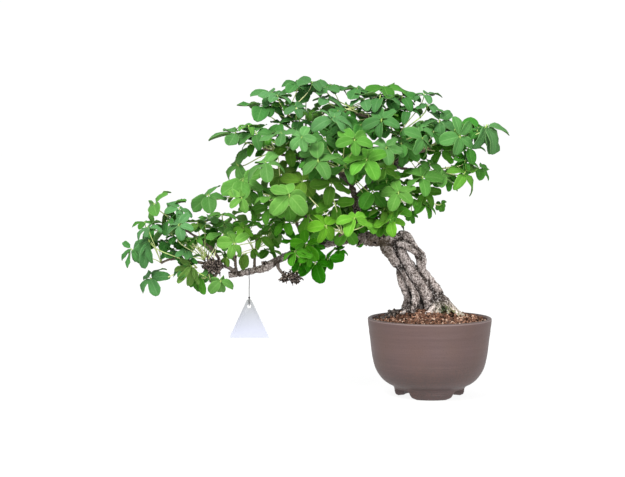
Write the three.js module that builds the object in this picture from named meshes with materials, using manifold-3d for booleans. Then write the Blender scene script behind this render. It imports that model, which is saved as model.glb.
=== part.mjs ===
// Chocolate vine bonsai: a five-leaf akebia trained as a leaning tree, in a round stoneware pot on three feet.
// Millimetres, +Z up. The tree is laid out round the pot's axis with its feet on z = 0, and the finished
// group is then moved so that the origin lies on the ground under the middle of the whole plant.
import * as THREE from "three";
import { mergeVertices } from "three/addons/utils/BufferGeometryUtils.js";
import Module from "manifold-3d";

const wasm = await Module();
wasm.setup();

// Pot
const POT_RADIUS = 80;
const POT_HEIGHT = 102;
const POT_WALL = 5;
const POT_SIDES = 28;
const LIP_HEIGHT = 4;
const FLOOR_UNDERSIDE = 12.5;
const FLOOR_TOP = 18;
const FOOT_OUTER = 41;
const FOOT_INNER = 32;
const FEET = 3;
const ARCH_HALF_WIDTH = 22;
const ARCH_HEIGHT = 11.2;
const DRAIN_RADIUS = 7;
// Radius and height of the bowl below the lip, outside and inside
const BOWL_OUTSIDE = [
  [44.6, 5],
  [46, 13],
  [58.6, 22.5],
  [68, 35],
  [72.6, 47.5],
  [76.8, 73.5],
  [POT_RADIUS, POT_HEIGHT - LIP_HEIGHT],
];
const BOWL_INSIDE = [
  [36, FLOOR_TOP],
  [50, 22],
  [62, 34],
  [68, 48],
  [72, 74],
  [POT_RADIUS - POT_WALL, POT_HEIGHT - LIP_HEIGHT],
];
// Clearance that every piece keeps from its neighbour, and the wider one round the soil
const GAP = 0.3;
const SOIL_GAP = 0.4;
// Soil and drain mesh
const SOIL_EDGE = 97.5;
const SOIL_CROWN = 112;
const MESH_RADIUS = 14;
const MESH_THICKNESS = 1;
const MESH_OPENING = 6;
const MESH_PITCH = 8;
// Leaves: blade and petiole thickness, and the outline of one leaflet as shares of its length
const BLADE = 0.9;
const PETIOLE_RADIUS = 0.75;
const LEAFLETS = 5;
const LEAFLET_SHARES = [0.86, 0.95, 1, 0.95, 0.86];
const VALLEY_REACH = 0.13;
const SHOULDER_REACH = 0.66;
const SHOULDER_WIDTH = 0.3;
const TIP_WIDTH = 0.15;
const FOLD = 0.2;
// Stems of the sprays: radius at the foot and at the tip, and how far each leaf spur swells
const STEM_FOOT = 2;
const STEM_TIP = 1.3;
const SPUR_SWELL = 0.7;
// Label that hangs from the lowest branch
const TAG_WIDTH = 51;
const TAG_HEIGHT = 49;
const TAG_TOP_WIDTH = 6.5;
const TAG_THICKNESS = 0.8;
const TAG_HOLE = 2.6;
const TAG_TOP = 125.5;
const TAG_CORNER = 2.5;
const HOLE_BELOW_TOP = 9;
const STRING_RADIUS = 0.5;
const STRING_X = -233.5;
const STRING_TOP = 157;

const degrees = THREE.MathUtils.degToRad;
const vec = (x, y, z) => new THREE.Vector3(x, y, z);

function toSolid(geometry) {
  const bare = geometry.clone();
  bare.deleteAttribute("normal");
  bare.deleteAttribute("uv");
  const merged = mergeVertices(bare, 1e-4);
  return new wasm.Manifold(
    new wasm.Mesh({
      numProp: 3,
      vertProperties: merged.attributes.position.array,
      triVerts: new Uint32Array(merged.index.array),
    }),
  );
}

function toGeometry(solid) {
  const mesh = solid.getMesh();
  const geometry = new THREE.BufferGeometry();
  geometry.setAttribute("position", new THREE.BufferAttribute(mesh.vertProperties, 3));
  geometry.setIndex(new THREE.BufferAttribute(mesh.triVerts, 1));
  const flat = geometry.toNonIndexed();
  flat.computeVertexNormals();
  return flat;
}

const fuse = (solids) => wasm.Manifold.union(solids);

function closedGeometry(points, triangles) {
  const geometry = new THREE.BufferGeometry();
  geometry.setAttribute("position", new THREE.Float32BufferAttribute(points.flatMap((p) => p.toArray()), 3));
  geometry.setIndex(triangles.flat());
  return geometry;
}

// A closed tube through points [x, y, z, radius], smooth from one to the next, with `rings` rings a stretch.
function taperedTube(stations, sides, rings, grow = 0) {
  const curve = new THREE.CatmullRomCurve3(stations.map(([x, y, z]) => vec(x, y, z)), false, "centripetal");
  const steps = (stations.length - 1) * rings;
  const points = [];
  const triangles = [];
  let across = null;
  for (let i = 0; i <= steps; i++) {
    const t = i / steps;
    const centre = curve.getPoint(t);
    const along = curve.getTangent(t);
    if (i === 0) centre.addScaledVector(along, -grow);
    if (i === steps) centre.addScaledVector(along, grow);
    across ??= Math.abs(along.z) < 0.9 ? vec(0, 0, 1) : vec(1, 0, 0);
    across.addScaledVector(along, -across.dot(along)).normalize();
    const up = along.clone().cross(across);
    const stretch = Math.min(Math.floor(t * (stations.length - 1)), stations.length - 2);
    const share = t * (stations.length - 1) - stretch;
    const radius = THREE.MathUtils.lerp(stations[stretch][3], stations[stretch + 1][3], share) + grow;
    for (let k = 0; k < sides; k++) {
      const angle = (2 * Math.PI * k) / sides;
      const rim = centre.clone().addScaledVector(across, radius * Math.cos(angle));
      points.push(rim.addScaledVector(up, radius * Math.sin(angle)));
    }
    if (i === 0) continue;
    for (let k = 0; k < sides; k++) {
      const a = (i - 1) * sides + k;
      const b = (i - 1) * sides + ((k + 1) % sides);
      triangles.push([a, b, b + sides], [a, b + sides, a + sides]);
    }
  }
  for (let k = 1; k < sides - 1; k++) {
    const last = steps * sides;
    triangles.push([0, k + 1, k], [last, last + k, last + k + 1]);
  }
  return toSolid(closedGeometry(points, triangles));
}

// A profile of radius and height, turned round the pot's axis.
const turned = (profile) => toSolid(new THREE.LatheGeometry(profile, POT_SIDES).rotateX(Math.PI / 2));

// The turned bowl with its rolled lip and foot ring, a drain hole, and three arches that leave three feet.
function makePot() {
  const outside = new THREE.SplineCurve(BOWL_OUTSIDE.map((p) => new THREE.Vector2(...p))).getPoints(10);
  const lip = [
    new THREE.Vector2(POT_RADIUS - 0.7, POT_HEIGHT - 1.4),
    new THREE.Vector2(POT_RADIUS - POT_WALL / 2, POT_HEIGHT),
    new THREE.Vector2(POT_RADIUS - POT_WALL + 0.5, POT_HEIGHT - 1.2),
  ];
  const footInside = new THREE.Vector2(FOOT_INNER + 1.5, FLOOR_UNDERSIDE);
  const profile = [
    footInside,
    new THREE.Vector2(FOOT_INNER, 0),
    new THREE.Vector2(FOOT_OUTER, 0),
    ...outside,
    ...lip,
    ...insideWall(0).reverse(),
    new THREE.Vector2(DRAIN_RADIUS, FLOOR_TOP),
    new THREE.Vector2(DRAIN_RADIUS, FLOOR_UNDERSIDE),
    footInside,
  ];
  let pot = turned(profile);
  for (let foot = 0; foot < FEET; foot++) {
    pot = pot.subtract(makeArch(degrees((foot + 0.5) * (360 / FEET))));
  }
  return pot;
}

// The inner face of the wall from the floor up, drawn in by `clearance` for what fills the pot.
function insideWall(clearance) {
  const stations = BOWL_INSIDE.map(([r, z]) => new THREE.Vector2(r - clearance, z + clearance));
  return new THREE.SplineCurve(stations).getPoints(5);
}

// What is cut away between two feet: an arch pushed out through the foot ring towards `azimuth`.
function makeArch(azimuth) {
  const below = -1;
  const start = 22;
  const depth = 30;
  const flank = ARCH_HALF_WIDTH * 0.78;
  const crown = ARCH_HALF_WIDTH * 0.45;
  const outline = new THREE.Shape();
  outline.moveTo(-ARCH_HALF_WIDTH, below);
  outline.lineTo(ARCH_HALF_WIDTH, below);
  outline.quadraticCurveTo(flank + 1.5, 1.5, flank, ARCH_HEIGHT * 0.55);
  outline.quadraticCurveTo(flank - 1.5, ARCH_HEIGHT, crown, ARCH_HEIGHT);
  outline.lineTo(-crown, ARCH_HEIGHT);
  outline.quadraticCurveTo(-flank + 1.5, ARCH_HEIGHT, -flank, ARCH_HEIGHT * 0.55);
  outline.quadraticCurveTo(-flank - 1.5, 1.5, -ARCH_HALF_WIDTH, below);
  const arch = new THREE.ExtrudeGeometry(outline, { depth, bevelEnabled: false, curveSegments: 3 });
  arch.translate(0, 0, start);
  arch.rotateX(Math.PI / 2);
  arch.rotateZ(azimuth);
  return toSolid(arch);
}

// A round outline of `sides` points, none of them twice.
function circle(x, y, radius, sides) {
  return Array.from({ length: sides }, (_, k) => {
    const angle = (2 * Math.PI * k) / sides;
    return new THREE.Vector2(x + radius * Math.cos(angle), y + radius * Math.sin(angle));
  });
}

function makeDrainMesh() {
  const disc = new THREE.CylinderGeometry(MESH_RADIUS, MESH_RADIUS, MESH_THICKNESS, 16);
  disc.rotateX(Math.PI / 2);
  const openings = [];
  for (const column of [-0.5, 0.5]) {
    for (const row of [-0.5, 0.5]) {
      const opening = new THREE.BoxGeometry(MESH_OPENING, MESH_OPENING, 2 * MESH_THICKNESS);
      opening.translate(column * MESH_PITCH, row * MESH_PITCH, 0);
      openings.push(toSolid(opening));
    }
  }
  const mesh = toSolid(disc).subtract(fuse(openings));
  return mesh.translate(0, 0, FLOOR_TOP + GAP + MESH_THICKNESS / 2);
}

// Wood that stands in the soil, each piece down to its buried end, as [x, y, z, radius].
const BOLE = [
  [-42, 6, 202, 5.6],
  [-38, 5, 189, 5.8],
  [-33, 3, 177, 6.6],
  [-26, 1, 166, 7.6],
  [-18, -1, 154, 9.2],
  [-10, -2, 143, 11],
  [-3, -2, 131, 12.6],
  [2, -1, 120, 14],
  [4, 0, 109, 15.5],
  [5, 0, 99, 13],
];
const FRONT_STEM_OUTER = [
  [-40, -6, 166, 4.8],
  [-36, -7, 152, 4.3],
  [-32, -5, 140, 4.3],
  [-28, 0, 128, 4.6],
  [-30, 8, 117, 5.2],
  [-36, 14, 107, 4],
  [-38, 16, 101, 3],
];
const FRONT_STEM_INNER = [
  [-38, -6, 165, 4.2],
  [-30, -9, 152, 3.6],
  [-23, -9, 142, 3.5],
  [-19, -9, 133, 4],
  [-21, -9, 121, 4.6],
  [-22, -9, 108, 6],
  [-22, -9, 101, 5],
];
const LOOP_OUTER = [
  [-49, 2, 206, 5.4],
  [-39, 2, 213, 5],
  [-30, 1, 212, 4.7],
  [-23, 0, 205, 4.5],
  [-17, -1, 196, 4.6],
  [-12, -2, 187, 5.4],
  [-10, -3, 177, 6.6],
  [-9, -4, 164, 6.8],
  [-3, -4, 151, 8],
  [6, -4, 137, 9.6],
  [14, -4, 124, 11],
  [18, -3, 109, 11.5],
  [19, -2, 99, 9.5],
];
const ROOT_RIDGE = [
  [8, -9, 131, 3.6],
  [11, -14, 116, 4.1],
  [12, -17, 104, 4.6],
  [13, -19, 97, 3.5],
];
const ROOT_RIGHT = [
  [16, -3, 127, 6],
  [28, -3, 114, 5.6],
  [39, -3, 106, 4],
  [50, -3, 99, 2.6],
];
const ROOT_BACK = [
  [2, 6, 124, 7],
  [3, 20, 112, 6],
  [6, 36, 100, 3],
];
const GROUNDED = [BOLE, FRONT_STEM_OUTER, FRONT_STEM_INNER, LOOP_OUTER, ROOT_RIDGE, ROOT_RIGHT, ROOT_BACK];
// Wood above the ground: the front stem before it parts, the inner loop, the long limb that ends in a cut
// stub, and the branches that rise from it.
const FRONT_STEM = [
  [-58, 0, 203, 6],
  [-52, -3, 190, 5.6],
  [-47, -5, 178, 5.6],
  [-43, -6, 169, 5.6],
  [-38, -6, 160, 4.6],
];
const LOOP_INNER = [
  [-45, -3, 203, 4.4],
  [-35, -6, 198, 3.7],
  [-27, -7, 191, 3.7],
  [-20, -5, 186, 3.8],
  [-11, -3, 180, 4],
];
const LIMB = [
  [-44, 2, 203, 9.5],
  [-58, 1, 204, 10.4],
  [-71, 0, 204, 10.2],
  [-88, -1, 205, 8.5],
  [-103, -2, 205, 7.2],
  [-121, -3, 202, 6.4],
  [-146, -4, 195, 5.9],
  [-172, -3, 187, 5],
  [-195, -2, 177, 4.7],
  [-211, -1, 168, 5.6],
  [-223, 0, 163, 3.9],
  [-260, 0, 157, 3.4],
];
const LEADER = [
  [-101, -1, 206, 6],
  [-94, 4, 230, 5.2],
  [-97, 7, 256, 4.5],
  [-102, 6, 282, 4.1],
  [-95, 4, 310, 3.4],
  [-85, 2, 338, 2.6],
];
const BRANCHES = [
  // upper left
  [
    [-100, 6, 272, 3.4],
    [-119, -2, 290, 2.9],
    [-145, -10, 300, 2.6],
    [-170, -18, 308, 2.2],
  ],
  // upper right
  [
    [-97, 7, 256, 3.4],
    [-80, 12, 272, 3],
    [-59, 14, 290, 2.6],
    [-36, 10, 305, 2.4],
  ],
  // rising from the elbow of the trunk
  [
    [-60, 0, 208, 4],
    [-52, -6, 228, 3.1],
    [-42, -10, 240, 2.6],
  ],
  // front shoulder
  [
    [-139, -4, 197, 4],
    [-150, -16, 219, 3.1],
    [-162, -26, 237, 2.5],
  ],
  // hanging spurs under the limb
  [
    [-165, -5, 187, 4],
    [-173, -8, 175, 3.4],
    [-176, -10, 164, 3],
  ],
  // far end, beside the stub
  [
    [-247, 0, 159, 3],
    [-263, -3, 168, 2.8],
    [-279, -6, 171, 2.5],
  ],
];

// How a leaf can be held: the way its upper face looks, how far round its leaflets fan, and how they droop.
const POSES = {
  open: { face: [0, -0.85, 0.5], fan: 288, droop: 10 },
  tilted: { face: [0, -0.62, 0.75], fan: 288, droop: 10 },
  flat: { face: [0, -0.35, 0.92], fan: 288, droop: 14 },
  left: { face: [-0.5, -0.65, 0.55], fan: 288, droop: 12 },
  high_left: { face: [-0.4, -0.45, 0.8], fan: 288, droop: 12 },
  edge_left: { face: [-0.72, -0.3, 0.62], fan: 288, droop: 8 },
  right: { face: [0.5, -0.65, 0.55], fan: 288, droop: 12 },
  hanging: { face: [-0.15, -0.9, 0.25], fan: 230, droop: 32 },
  hanging_right: { face: [0.45, -0.8, 0.35], fan: 216, droop: 22 },
};

// One spray a row. It grows at `joint` from a stub rooted in the wood at `from`, its stem runs on through
// `stem`, and each leaf springs from the nearest of those points. A leaf is its pose, the place of its hub,
// the length of its middle leaflet, and the way that leaflet points as seen from the front, in degrees.
const SPRAYS = {
  left_tip: {
    from: [-277, -6, 171],
    joint: [-286, -8, 172],
    stem: [[-312, -6, 176], [-333, -2, 178], [-347, -4, 173]],
    leaves: [
      ["left", -366, -32, 206, 47, 220],
      ["left", -360, -15, 155, 30, 215],
      ["flat", -340, 10, 200, 22, 215],
      ["flat", -332, 16, 190, 24, 340],
    ],
  },
  left_top: {
    from: [-268, -4, 169],
    joint: [-272, -2, 178],
    stem: [[-283, 2, 192], [-302, 4, 206], [-320, 2, 218]],
    leaves: [
      ["high_left", -360, 6, 218, 24, 175],
      ["edge_left", -355, -10, 250, 32, 235],
      ["edge_left", -335, 5, 245, 30, 220],
      ["open", -320, -46, 225, 25, 200],
      ["flat", -290, 0, 227, 24, 170],
    ],
  },
  left_under: {
    from: [-268, -4, 169],
    joint: [-272, -10, 163],
    stem: [[-277, -15, 157], [-282, -18, 151]],
    leaves: [
      ["hanging", -305, -35, 172, 30, 225],
      ["hanging", -294, -22, 155, 26, 265],
      ["hanging", -270, -35, 146, 22, 280],
    ],
  },
  left_inner: {
    from: [-249, 0, 159],
    joint: [-251, 0, 168],
    stem: [[-252, 0, 180], [-257, -3, 191]],
    leaves: [
      ["open", -250, -50, 202, 24, 95],
      ["open", -265, -22, 212, 24, 195],
      ["flat", -250, 15, 212, 23, 120],
      ["flat", -270, 30, 235, 23, 190],
    ],
  },
  shoulder_low: {
    from: [-158, -23, 231],
    joint: [-165, -29, 241],
    stem: [[-180, -33, 249], [-202, -36, 255], [-226, -32, 260]],
    leaves: [
      ["open", -285, -30, 262, 29, 280],
      ["open", -240, -70, 260, 22, 285],
      ["open", -180, -100, 265, 35, 297],
      ["flat", -205, -75, 262, 22, 180],
      ["high_left", -240, -48, 282, 38, 195],
    ],
  },
  shoulder_mid: {
    from: [-166, -17, 307],
    joint: [-177, -20, 310],
    stem: [[-196, -22, 314], [-214, -22, 320]],
    leaves: [
      ["left", -210, -74, 305, 33, 200],
      ["left", -250, 3, 302, 33, 205],
      ["flat", -250, -10, 340, 34, 190],
      ["high_left", -224, -26, 342, 29, 210],
      ["high_left", -190, -50, 340, 30, 215],
    ],
  },
  top_left: {
    from: [-143, -9, 299],
    joint: [-150, -6, 310],
    stem: [[-161, -2, 330], [-173, 0, 350], [-184, 2, 362]],
    leaves: [
      ["flat", -215, 5, 377, 38, 205],
      ["flat", -204, 10, 392, 29, 180],
      ["flat", -160, 26, 397, 36, 180],
      ["tilted", -172, -35, 372, 22, 350],
      ["open", -165, -88, 335, 22, 215],
    ],
  },
  crown: {
    from: [-87, 2, 332],
    joint: [-83, 2, 345],
    stem: [[-78, 1, 357], [-92, 0, 364], [-112, 0, 366]],
    leaves: [
      ["flat", -135, -8, 398, 29, 160],
      ["flat", -133, -22, 384, 24, 60],
      ["tilted", -125, -60, 360, 34, 230],
      ["flat", -65, -15, 388, 35, 180],
      ["open", -65, -50, 357, 29, 185],
      ["flat", -44, 4, 371, 29, 0],
      ["flat", -42, 22, 386, 25, 15],
    ],
  },
  centre: {
    from: [-101, 6, 284],
    joint: [-104, -4, 287],
    stem: [[-110, -22, 289], [-115, -42, 291]],
    leaves: [
      ["tilted", -145, -95, 307, 33, 95],
      ["tilted", -85, -90, 308, 33, 155],
      ["open", -100, -100, 332, 28, 125],
    ],
  },
  crown_right: {
    from: [-39, 10, 304],
    joint: [-38, 6, 313],
    stem: [[-40, 0, 325], [-42, -6, 335]],
    leaves: [
      ["open", -60, -64, 322, 26, 210],
      ["open", -40, -47, 327, 22, 345],
      ["flat", -18, -45, 347, 26, 180],
      ["flat", -5, -14, 376, 26, 20],
    ],
  },
  right_top: {
    from: [-41, 10, 303],
    joint: [-30, 9, 309],
    stem: [[-8, 4, 318], [18, 0, 326], [44, -2, 332]],
    leaves: [
      ["tilted", 10, -19, 361, 29, 330],
      ["hanging_right", 76, -18, 350, 44, 282],
      ["right", 70, 15, 357, 28, 205],
      ["open", 34, -45, 336, 29, 255],
      ["right", -16, -88, 334, 31, 300],
    ],
  },
  right_mid: {
    from: [-48, 12, 297],
    joint: [-38, 6, 295],
    stem: [[-18, 0, 292], [4, -6, 290], [26, -8, 292]],
    leaves: [
      ["right", 40, -32, 291, 29, 315],
      ["right", 64, 10, 296, 26, 330],
      ["tilted", -14, -57, 286, 31, 0],
    ],
  },
  right_low: {
    from: [-45, -9, 237],
    joint: [-36, -12, 244],
    stem: [[-25, -14, 249], [-12, -16, 253]],
    leaves: [
      ["tilted", -45, -75, 267, 28, 250],
      ["open", -45, -20, 252, 22, 200],
    ],
  },
  low_front: {
    from: [-121, -3, 203],
    joint: [-121, -13, 206],
    stem: [[-118, -30, 209], [-114, -46, 213]],
    leaves: [
      ["open", -100, -95, 236, 27, 261],
      ["open", -135, -85, 226, 27, 190],
    ],
  },
  low_left: {
    from: [-172, -8, 177],
    joint: [-168, -16, 175],
    stem: [[-162, -28, 174], [-158, -38, 176]],
    leaves: [
      ["open", -160, -60, 201, 27, 240],
      ["open", -148, -48, 178, 27, 280],
    ],
  },
  low_right: {
    from: [-57, -3, 222],
    joint: [-62, -12, 226],
    stem: [[-66, -24, 229]],
    leaves: [["open", -58, -62, 232, 24, 205]],
  },
};

// The sprays at the back follow one rule: from the end of each stem the leaves fan out round `yaw`,
// by turns higher and lower, and face up and out.
const BACK_ELEVATIONS = [50, 12, 35, 5, 45];
const BACK_FAN = 150;
const BACK_SPRAYS = {
  back_tip: {
    from: [-268, -4, 169],
    joint: [-273, 5, 170],
    stem: [[-288, 24, 178], [-302, 44, 188]],
    yaw: 100,
    count: 3,
  },
  back_left: {
    from: [-225, 0, 162],
    joint: [-227, 9, 166],
    stem: [[-227, 28, 182], [-224, 50, 203]],
    yaw: 68,
    count: 3,
  },
  back_shoulder: {
    from: [-160, -4, 191],
    joint: [-163, 6, 198],
    stem: [[-172, 24, 222], [-184, 46, 256]],
    yaw: 105,
    count: 4,
  },
  back_low: {
    from: [-112, -3, 204],
    joint: [-112, 8, 208],
    stem: [[-110, 24, 216], [-104, 40, 226]],
    yaw: 82,
    count: 3,
  },
  back_crown: {
    from: [-95, 4, 312],
    joint: [-98, 13, 318],
    stem: [[-106, 30, 330], [-118, 48, 345]],
    yaw: 100,
    count: 4,
  },
  back_centre: {
    from: [-100, 6, 272],
    joint: [-97, 16, 276],
    stem: [[-88, 34, 282], [-80, 54, 290]],
    yaw: 85,
    count: 4,
  },
  back_right: {
    from: [-55, 14, 292],
    joint: [-50, 21, 298],
    stem: [[-34, 34, 310], [-6, 44, 325]],
    yaw: 50,
    count: 4,
  },
};

function backLeaves({ stem, yaw, count }) {
  const spur = stem[stem.length - 1];
  return Array.from({ length: count }, (_, i) => {
    const turn = degrees(yaw + (i - (count - 1) / 2) * (BACK_FAN / (count - 1)));
    const rise = degrees(BACK_ELEVATIONS[i]);
    const reach = 36 + 7 * (i % 3);
    const out = vec(Math.cos(turn) * Math.cos(rise), Math.sin(turn) * Math.cos(rise), Math.sin(rise));
    const hub = vec(...spur).addScaledVector(out, reach);
    return {
      hub,
      length: 27 + 3 * ((i + count) % 3),
      normal: out.clone().add(vec(0, 0, 0.8)).normalize(),
      middle: out,
      fan: 288,
      droop: 12,
    };
  });
}

function frontLeaf([pose, x, y, z, length, turn]) {
  const { face, fan, droop } = POSES[pose];
  const middle = vec(Math.cos(degrees(turn)), 0, Math.sin(degrees(turn)));
  return { hub: vec(x, y, z), length, normal: vec(...face).normalize(), middle, fan, droop };
}

// A small fixed unevenness, different for each leaf and leaflet.
const sway = (leaf, k) => Math.sin(leaf.hub.x * 0.7 + leaf.hub.y * 0.9 + leaf.hub.z * 1.3 + k * 2.1);

// One leaf in a single skin: five leaflets cut to the hub in one thin plate, each folded up at its sides, and
// a three-sided stalk that leaves the stem upwards, bows over and meets the blade from below.
function makeLeaf(leaf, spurs, grow = 0) {
  const along = leaf.middle.clone().addScaledVector(leaf.normal, -leaf.middle.dot(leaf.normal)).normalize();
  const across = leaf.normal.clone().cross(along);
  const turnedBy = (angle) =>
    along.clone().multiplyScalar(Math.cos(angle)).addScaledVector(across, Math.sin(angle));
  const step = leaf.fan / (LEAFLETS - 1);
  const angles = LEAFLET_SHARES.map((_, k) => degrees((k - 2) * step + 4 * sway(leaf, k)));
  const rim = [];
  for (let k = 0; k < LEAFLETS; k++) {
    const length = leaf.length * LEAFLET_SHARES[k] * (1 + 0.06 * sway(leaf, k + 7));
    const droop = degrees(leaf.droop + 5 * sway(leaf, k + 13));
    const flat = turnedBy(angles[k]);
    const out = flat.clone().multiplyScalar(Math.cos(droop)).addScaledVector(leaf.normal, -Math.sin(droop));
    const side = turnedBy(angles[k] + Math.PI / 2);
    const up = out.clone().cross(side);
    const station = (reach, width) => {
      const at = leaf.hub.clone().addScaledVector(out, reach * length);
      at.addScaledVector(side, width * length).addScaledVector(up, Math.abs(width) * length * FOLD);
      return { at, up, angle: angles[k] + Math.atan2(width, reach) };
    };
    const next = k < LEAFLETS - 1 ? angles[k + 1] : angles[0] + 2 * Math.PI;
    const cleft = (angles[k] + next) / 2;
    rim.push(
      station(SHOULDER_REACH, -SHOULDER_WIDTH),
      station(1, -TIP_WIDTH),
      station(1, TIP_WIDTH),
      station(SHOULDER_REACH, SHOULDER_WIDTH),
      {
        at: leaf.hub.clone().addScaledVector(turnedBy(cleft), VALLEY_REACH * leaf.length),
        up: leaf.normal,
        angle: cleft,
      },
    );
  }
  const half = BLADE / 2 + grow;
  const count = rim.length;
  const upper = rim.map(({ at, up }) => at.clone().addScaledVector(up, half));
  const lower = rim.map(({ at, up }) => at.clone().addScaledVector(up, -half));
  const points = [leaf.hub.clone().addScaledVector(leaf.normal, half), ...upper, ...lower];
  const under = (i) => i + count;
  // The stalk's rings of three corners, from the blade down to the nearest spur
  const collar = points.length;
  const third = (2 * Math.PI) / 3;
  const corner = (angle) => ((Math.round((angle - third / 2) / third) % 3) + 3) % 3;
  const distance = (at) => at.distanceTo(leaf.hub);
  const spur = spurs.reduce((near, at) => (distance(at) < distance(near) ? at : near));
  const curve = stalkCurve(leaf, spur);
  const radial = along.clone();
  for (const t of [1, 0.5, 0]) {
    const centre = t === 1 ? leaf.hub.clone().addScaledVector(leaf.normal, -half) : curve.getPoint(t);
    const tangent = curve.getTangent(t);
    radial.addScaledVector(tangent, -radial.dot(tangent)).normalize();
    const other = tangent.clone().cross(radial);
    for (let j = 0; j < 3; j++) {
      const angle = third / 2 + third * j;
      const ring = centre.clone().addScaledVector(radial, (PETIOLE_RADIUS + grow) * Math.cos(angle));
      points.push(ring.addScaledVector(other, (PETIOLE_RADIUS + grow) * Math.sin(angle)));
    }
  }
  const triangles = [];
  const bothFaces = (a, b, c) => triangles.push([a, b, c], [under(a), under(c), under(b)]);
  const hubFaces = (a, b) => {
    const j = corner((rim[a - 1].angle + rim[b - 1].angle) / 2 + (b < a ? Math.PI : 0));
    triangles.push([0, a, b], [collar + j, under(b), under(a)]);
    return j;
  };
  const spokes = [];
  for (let k = 0; k < LEAFLETS; k++) {
    const [left, leftTip, rightTip, right, cleft] = [1, 2, 3, 4, 5].map((i) => 5 * k + i);
    const lastCleft = k === 0 ? count : 5 * k;
    bothFaces(lastCleft, left, leftTip);
    bothFaces(rightTip, right, cleft);
    spokes.push([lastCleft, leftTip], [leftTip, rightTip], [rightTip, cleft]);
  }
  const corners = spokes.map(([a, b]) => hubFaces(a, b));
  spokes.forEach(([a], i) => {
    const before = corners[(i + spokes.length - 1) % spokes.length];
    if (before !== corners[i]) triangles.push([collar + before, collar + corners[i], under(a)]);
  });
  for (let k = 0; k < count; k++) {
    const a = 1 + k;
    const b = 1 + ((k + 1) % count);
    triangles.push([a, under(a), under(b)], [a, under(b), b]);
  }
  for (const ring of [collar, collar + 3]) {
    for (let j = 0; j < 3; j++) {
      const next = (j + 1) % 3;
      triangles.push([ring + 3 + j, ring + 3 + next, ring + next], [ring + 3 + j, ring + next, ring + j]);
    }
  }
  triangles.push([collar + 6, collar + 8, collar + 7]);
  return toSolid(closedGeometry(points, triangles));
}

function stalkCurve(leaf, spur) {
  const reach = spur.distanceTo(leaf.hub);
  const rise = leaf.hub.clone().sub(spur).normalize().add(vec(0, 0, 0.5)).normalize();
  return new THREE.CubicBezierCurve3(
    spur,
    spur.clone().addScaledVector(rise, 0.35 * reach),
    leaf.hub.clone().addScaledVector(leaf.normal, -0.28 * reach),
    leaf.hub,
  );
}

// A spray's own wood: its stem, from a hair's breadth off the stub, with a knobbly spur at each station.
function makeStem({ from, joint, stem }, grow = 0) {
  const along = vec(...joint).sub(vec(...from)).normalize();
  const start = vec(...joint).addScaledVector(along, GAP);
  const first = start.clone().addScaledVector(along, 3);
  const stations = [start, first, ...stem.map((at) => vec(...at))];
  const last = stations.length - 1;
  const width = (i) => THREE.MathUtils.lerp(STEM_FOOT, STEM_TIP, i / last) + (i > 1 ? SPUR_SWELL : 0);
  return taperedTube(stations.map((at, i) => [...at.toArray(), width(i)]), 4, 1, grow);
}

// The stub of a spray, which is part of the trunk's wood.
const makeStub = ({ from, joint }) => taperedTube([[...from, STEM_FOOT + 0.4], [...joint, STEM_FOOT]], 4, 1);

// A plain plate, wide at the foot and narrow at the top, with its corners rounded and a hole for the string.
function makeTag() {
  const foot = TAG_TOP - TAG_HEIGHT;
  const side = TAG_WIDTH / 2;
  const peak = TAG_TOP_WIDTH / 2;
  const outline = new THREE.Shape();
  outline.moveTo(-side + TAG_CORNER, foot);
  outline.lineTo(side - TAG_CORNER, foot);
  outline.quadraticCurveTo(side, foot, side - 1, foot + TAG_CORNER);
  outline.lineTo(peak + 1, TAG_TOP - 2);
  outline.quadraticCurveTo(peak, TAG_TOP, peak - 1, TAG_TOP);
  outline.lineTo(-peak + 1, TAG_TOP);
  outline.quadraticCurveTo(-peak, TAG_TOP, -peak - 1, TAG_TOP - 2);
  outline.lineTo(-side + 1, foot + TAG_CORNER);
  outline.quadraticCurveTo(-side, foot, -side + TAG_CORNER, foot);
  outline.holes.push(new THREE.Path(circle(0, TAG_TOP - HOLE_BELOW_TOP, TAG_HOLE, 10)));
  const plate = new THREE.ExtrudeGeometry(outline, {
    depth: TAG_THICKNESS,
    bevelEnabled: false,
    curveSegments: 3,
  });
  plate.rotateX(Math.PI / 2);
  plate.translate(STRING_X, TAG_THICKNESS / 2, 0);
  return toSolid(plate);
}

// The string, straight down from just under the limb to just above the tag.
function makeString() {
  const foot = TAG_TOP + GAP;
  const section = new THREE.Shape(circle(0, 0, STRING_RADIUS, 8));
  const string = new THREE.ExtrudeGeometry(section, {
    depth: STRING_TOP - foot,
    steps: 6,
    bevelEnabled: false,
  });
  string.translate(STRING_X, 0, foot);
  return toSolid(string);
}

// The soil fills the bowl up to a low mound, and leaves room for the drain mesh and for the buried wood.
function makeSoil() {
  const mound = new THREE.SplineCurve([
    new THREE.Vector2(insideWall(SOIL_GAP).at(-1).x, SOIL_EDGE),
    new THREE.Vector2(58, 101.5),
    new THREE.Vector2(40, 106.5),
    new THREE.Vector2(20, SOIL_CROWN - 1.5),
    new THREE.Vector2(0, SOIL_CROWN),
  ]).getPoints(3);
  const bottom = FLOOR_TOP + MESH_THICKNESS + 2 * GAP;
  const wall = insideWall(SOIL_GAP)
    .filter((p) => p.y < SOIL_EDGE - 2)
    .map((p) => new THREE.Vector2(p.x, Math.max(p.y, bottom)));
  const fill = turned([new THREE.Vector2(0, bottom), ...wall, ...mound]);
  return fill.subtract(fuse(GROUNDED.map((stations) => taperedTube(stations, 6, 1, SOIL_GAP))));
}

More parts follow.
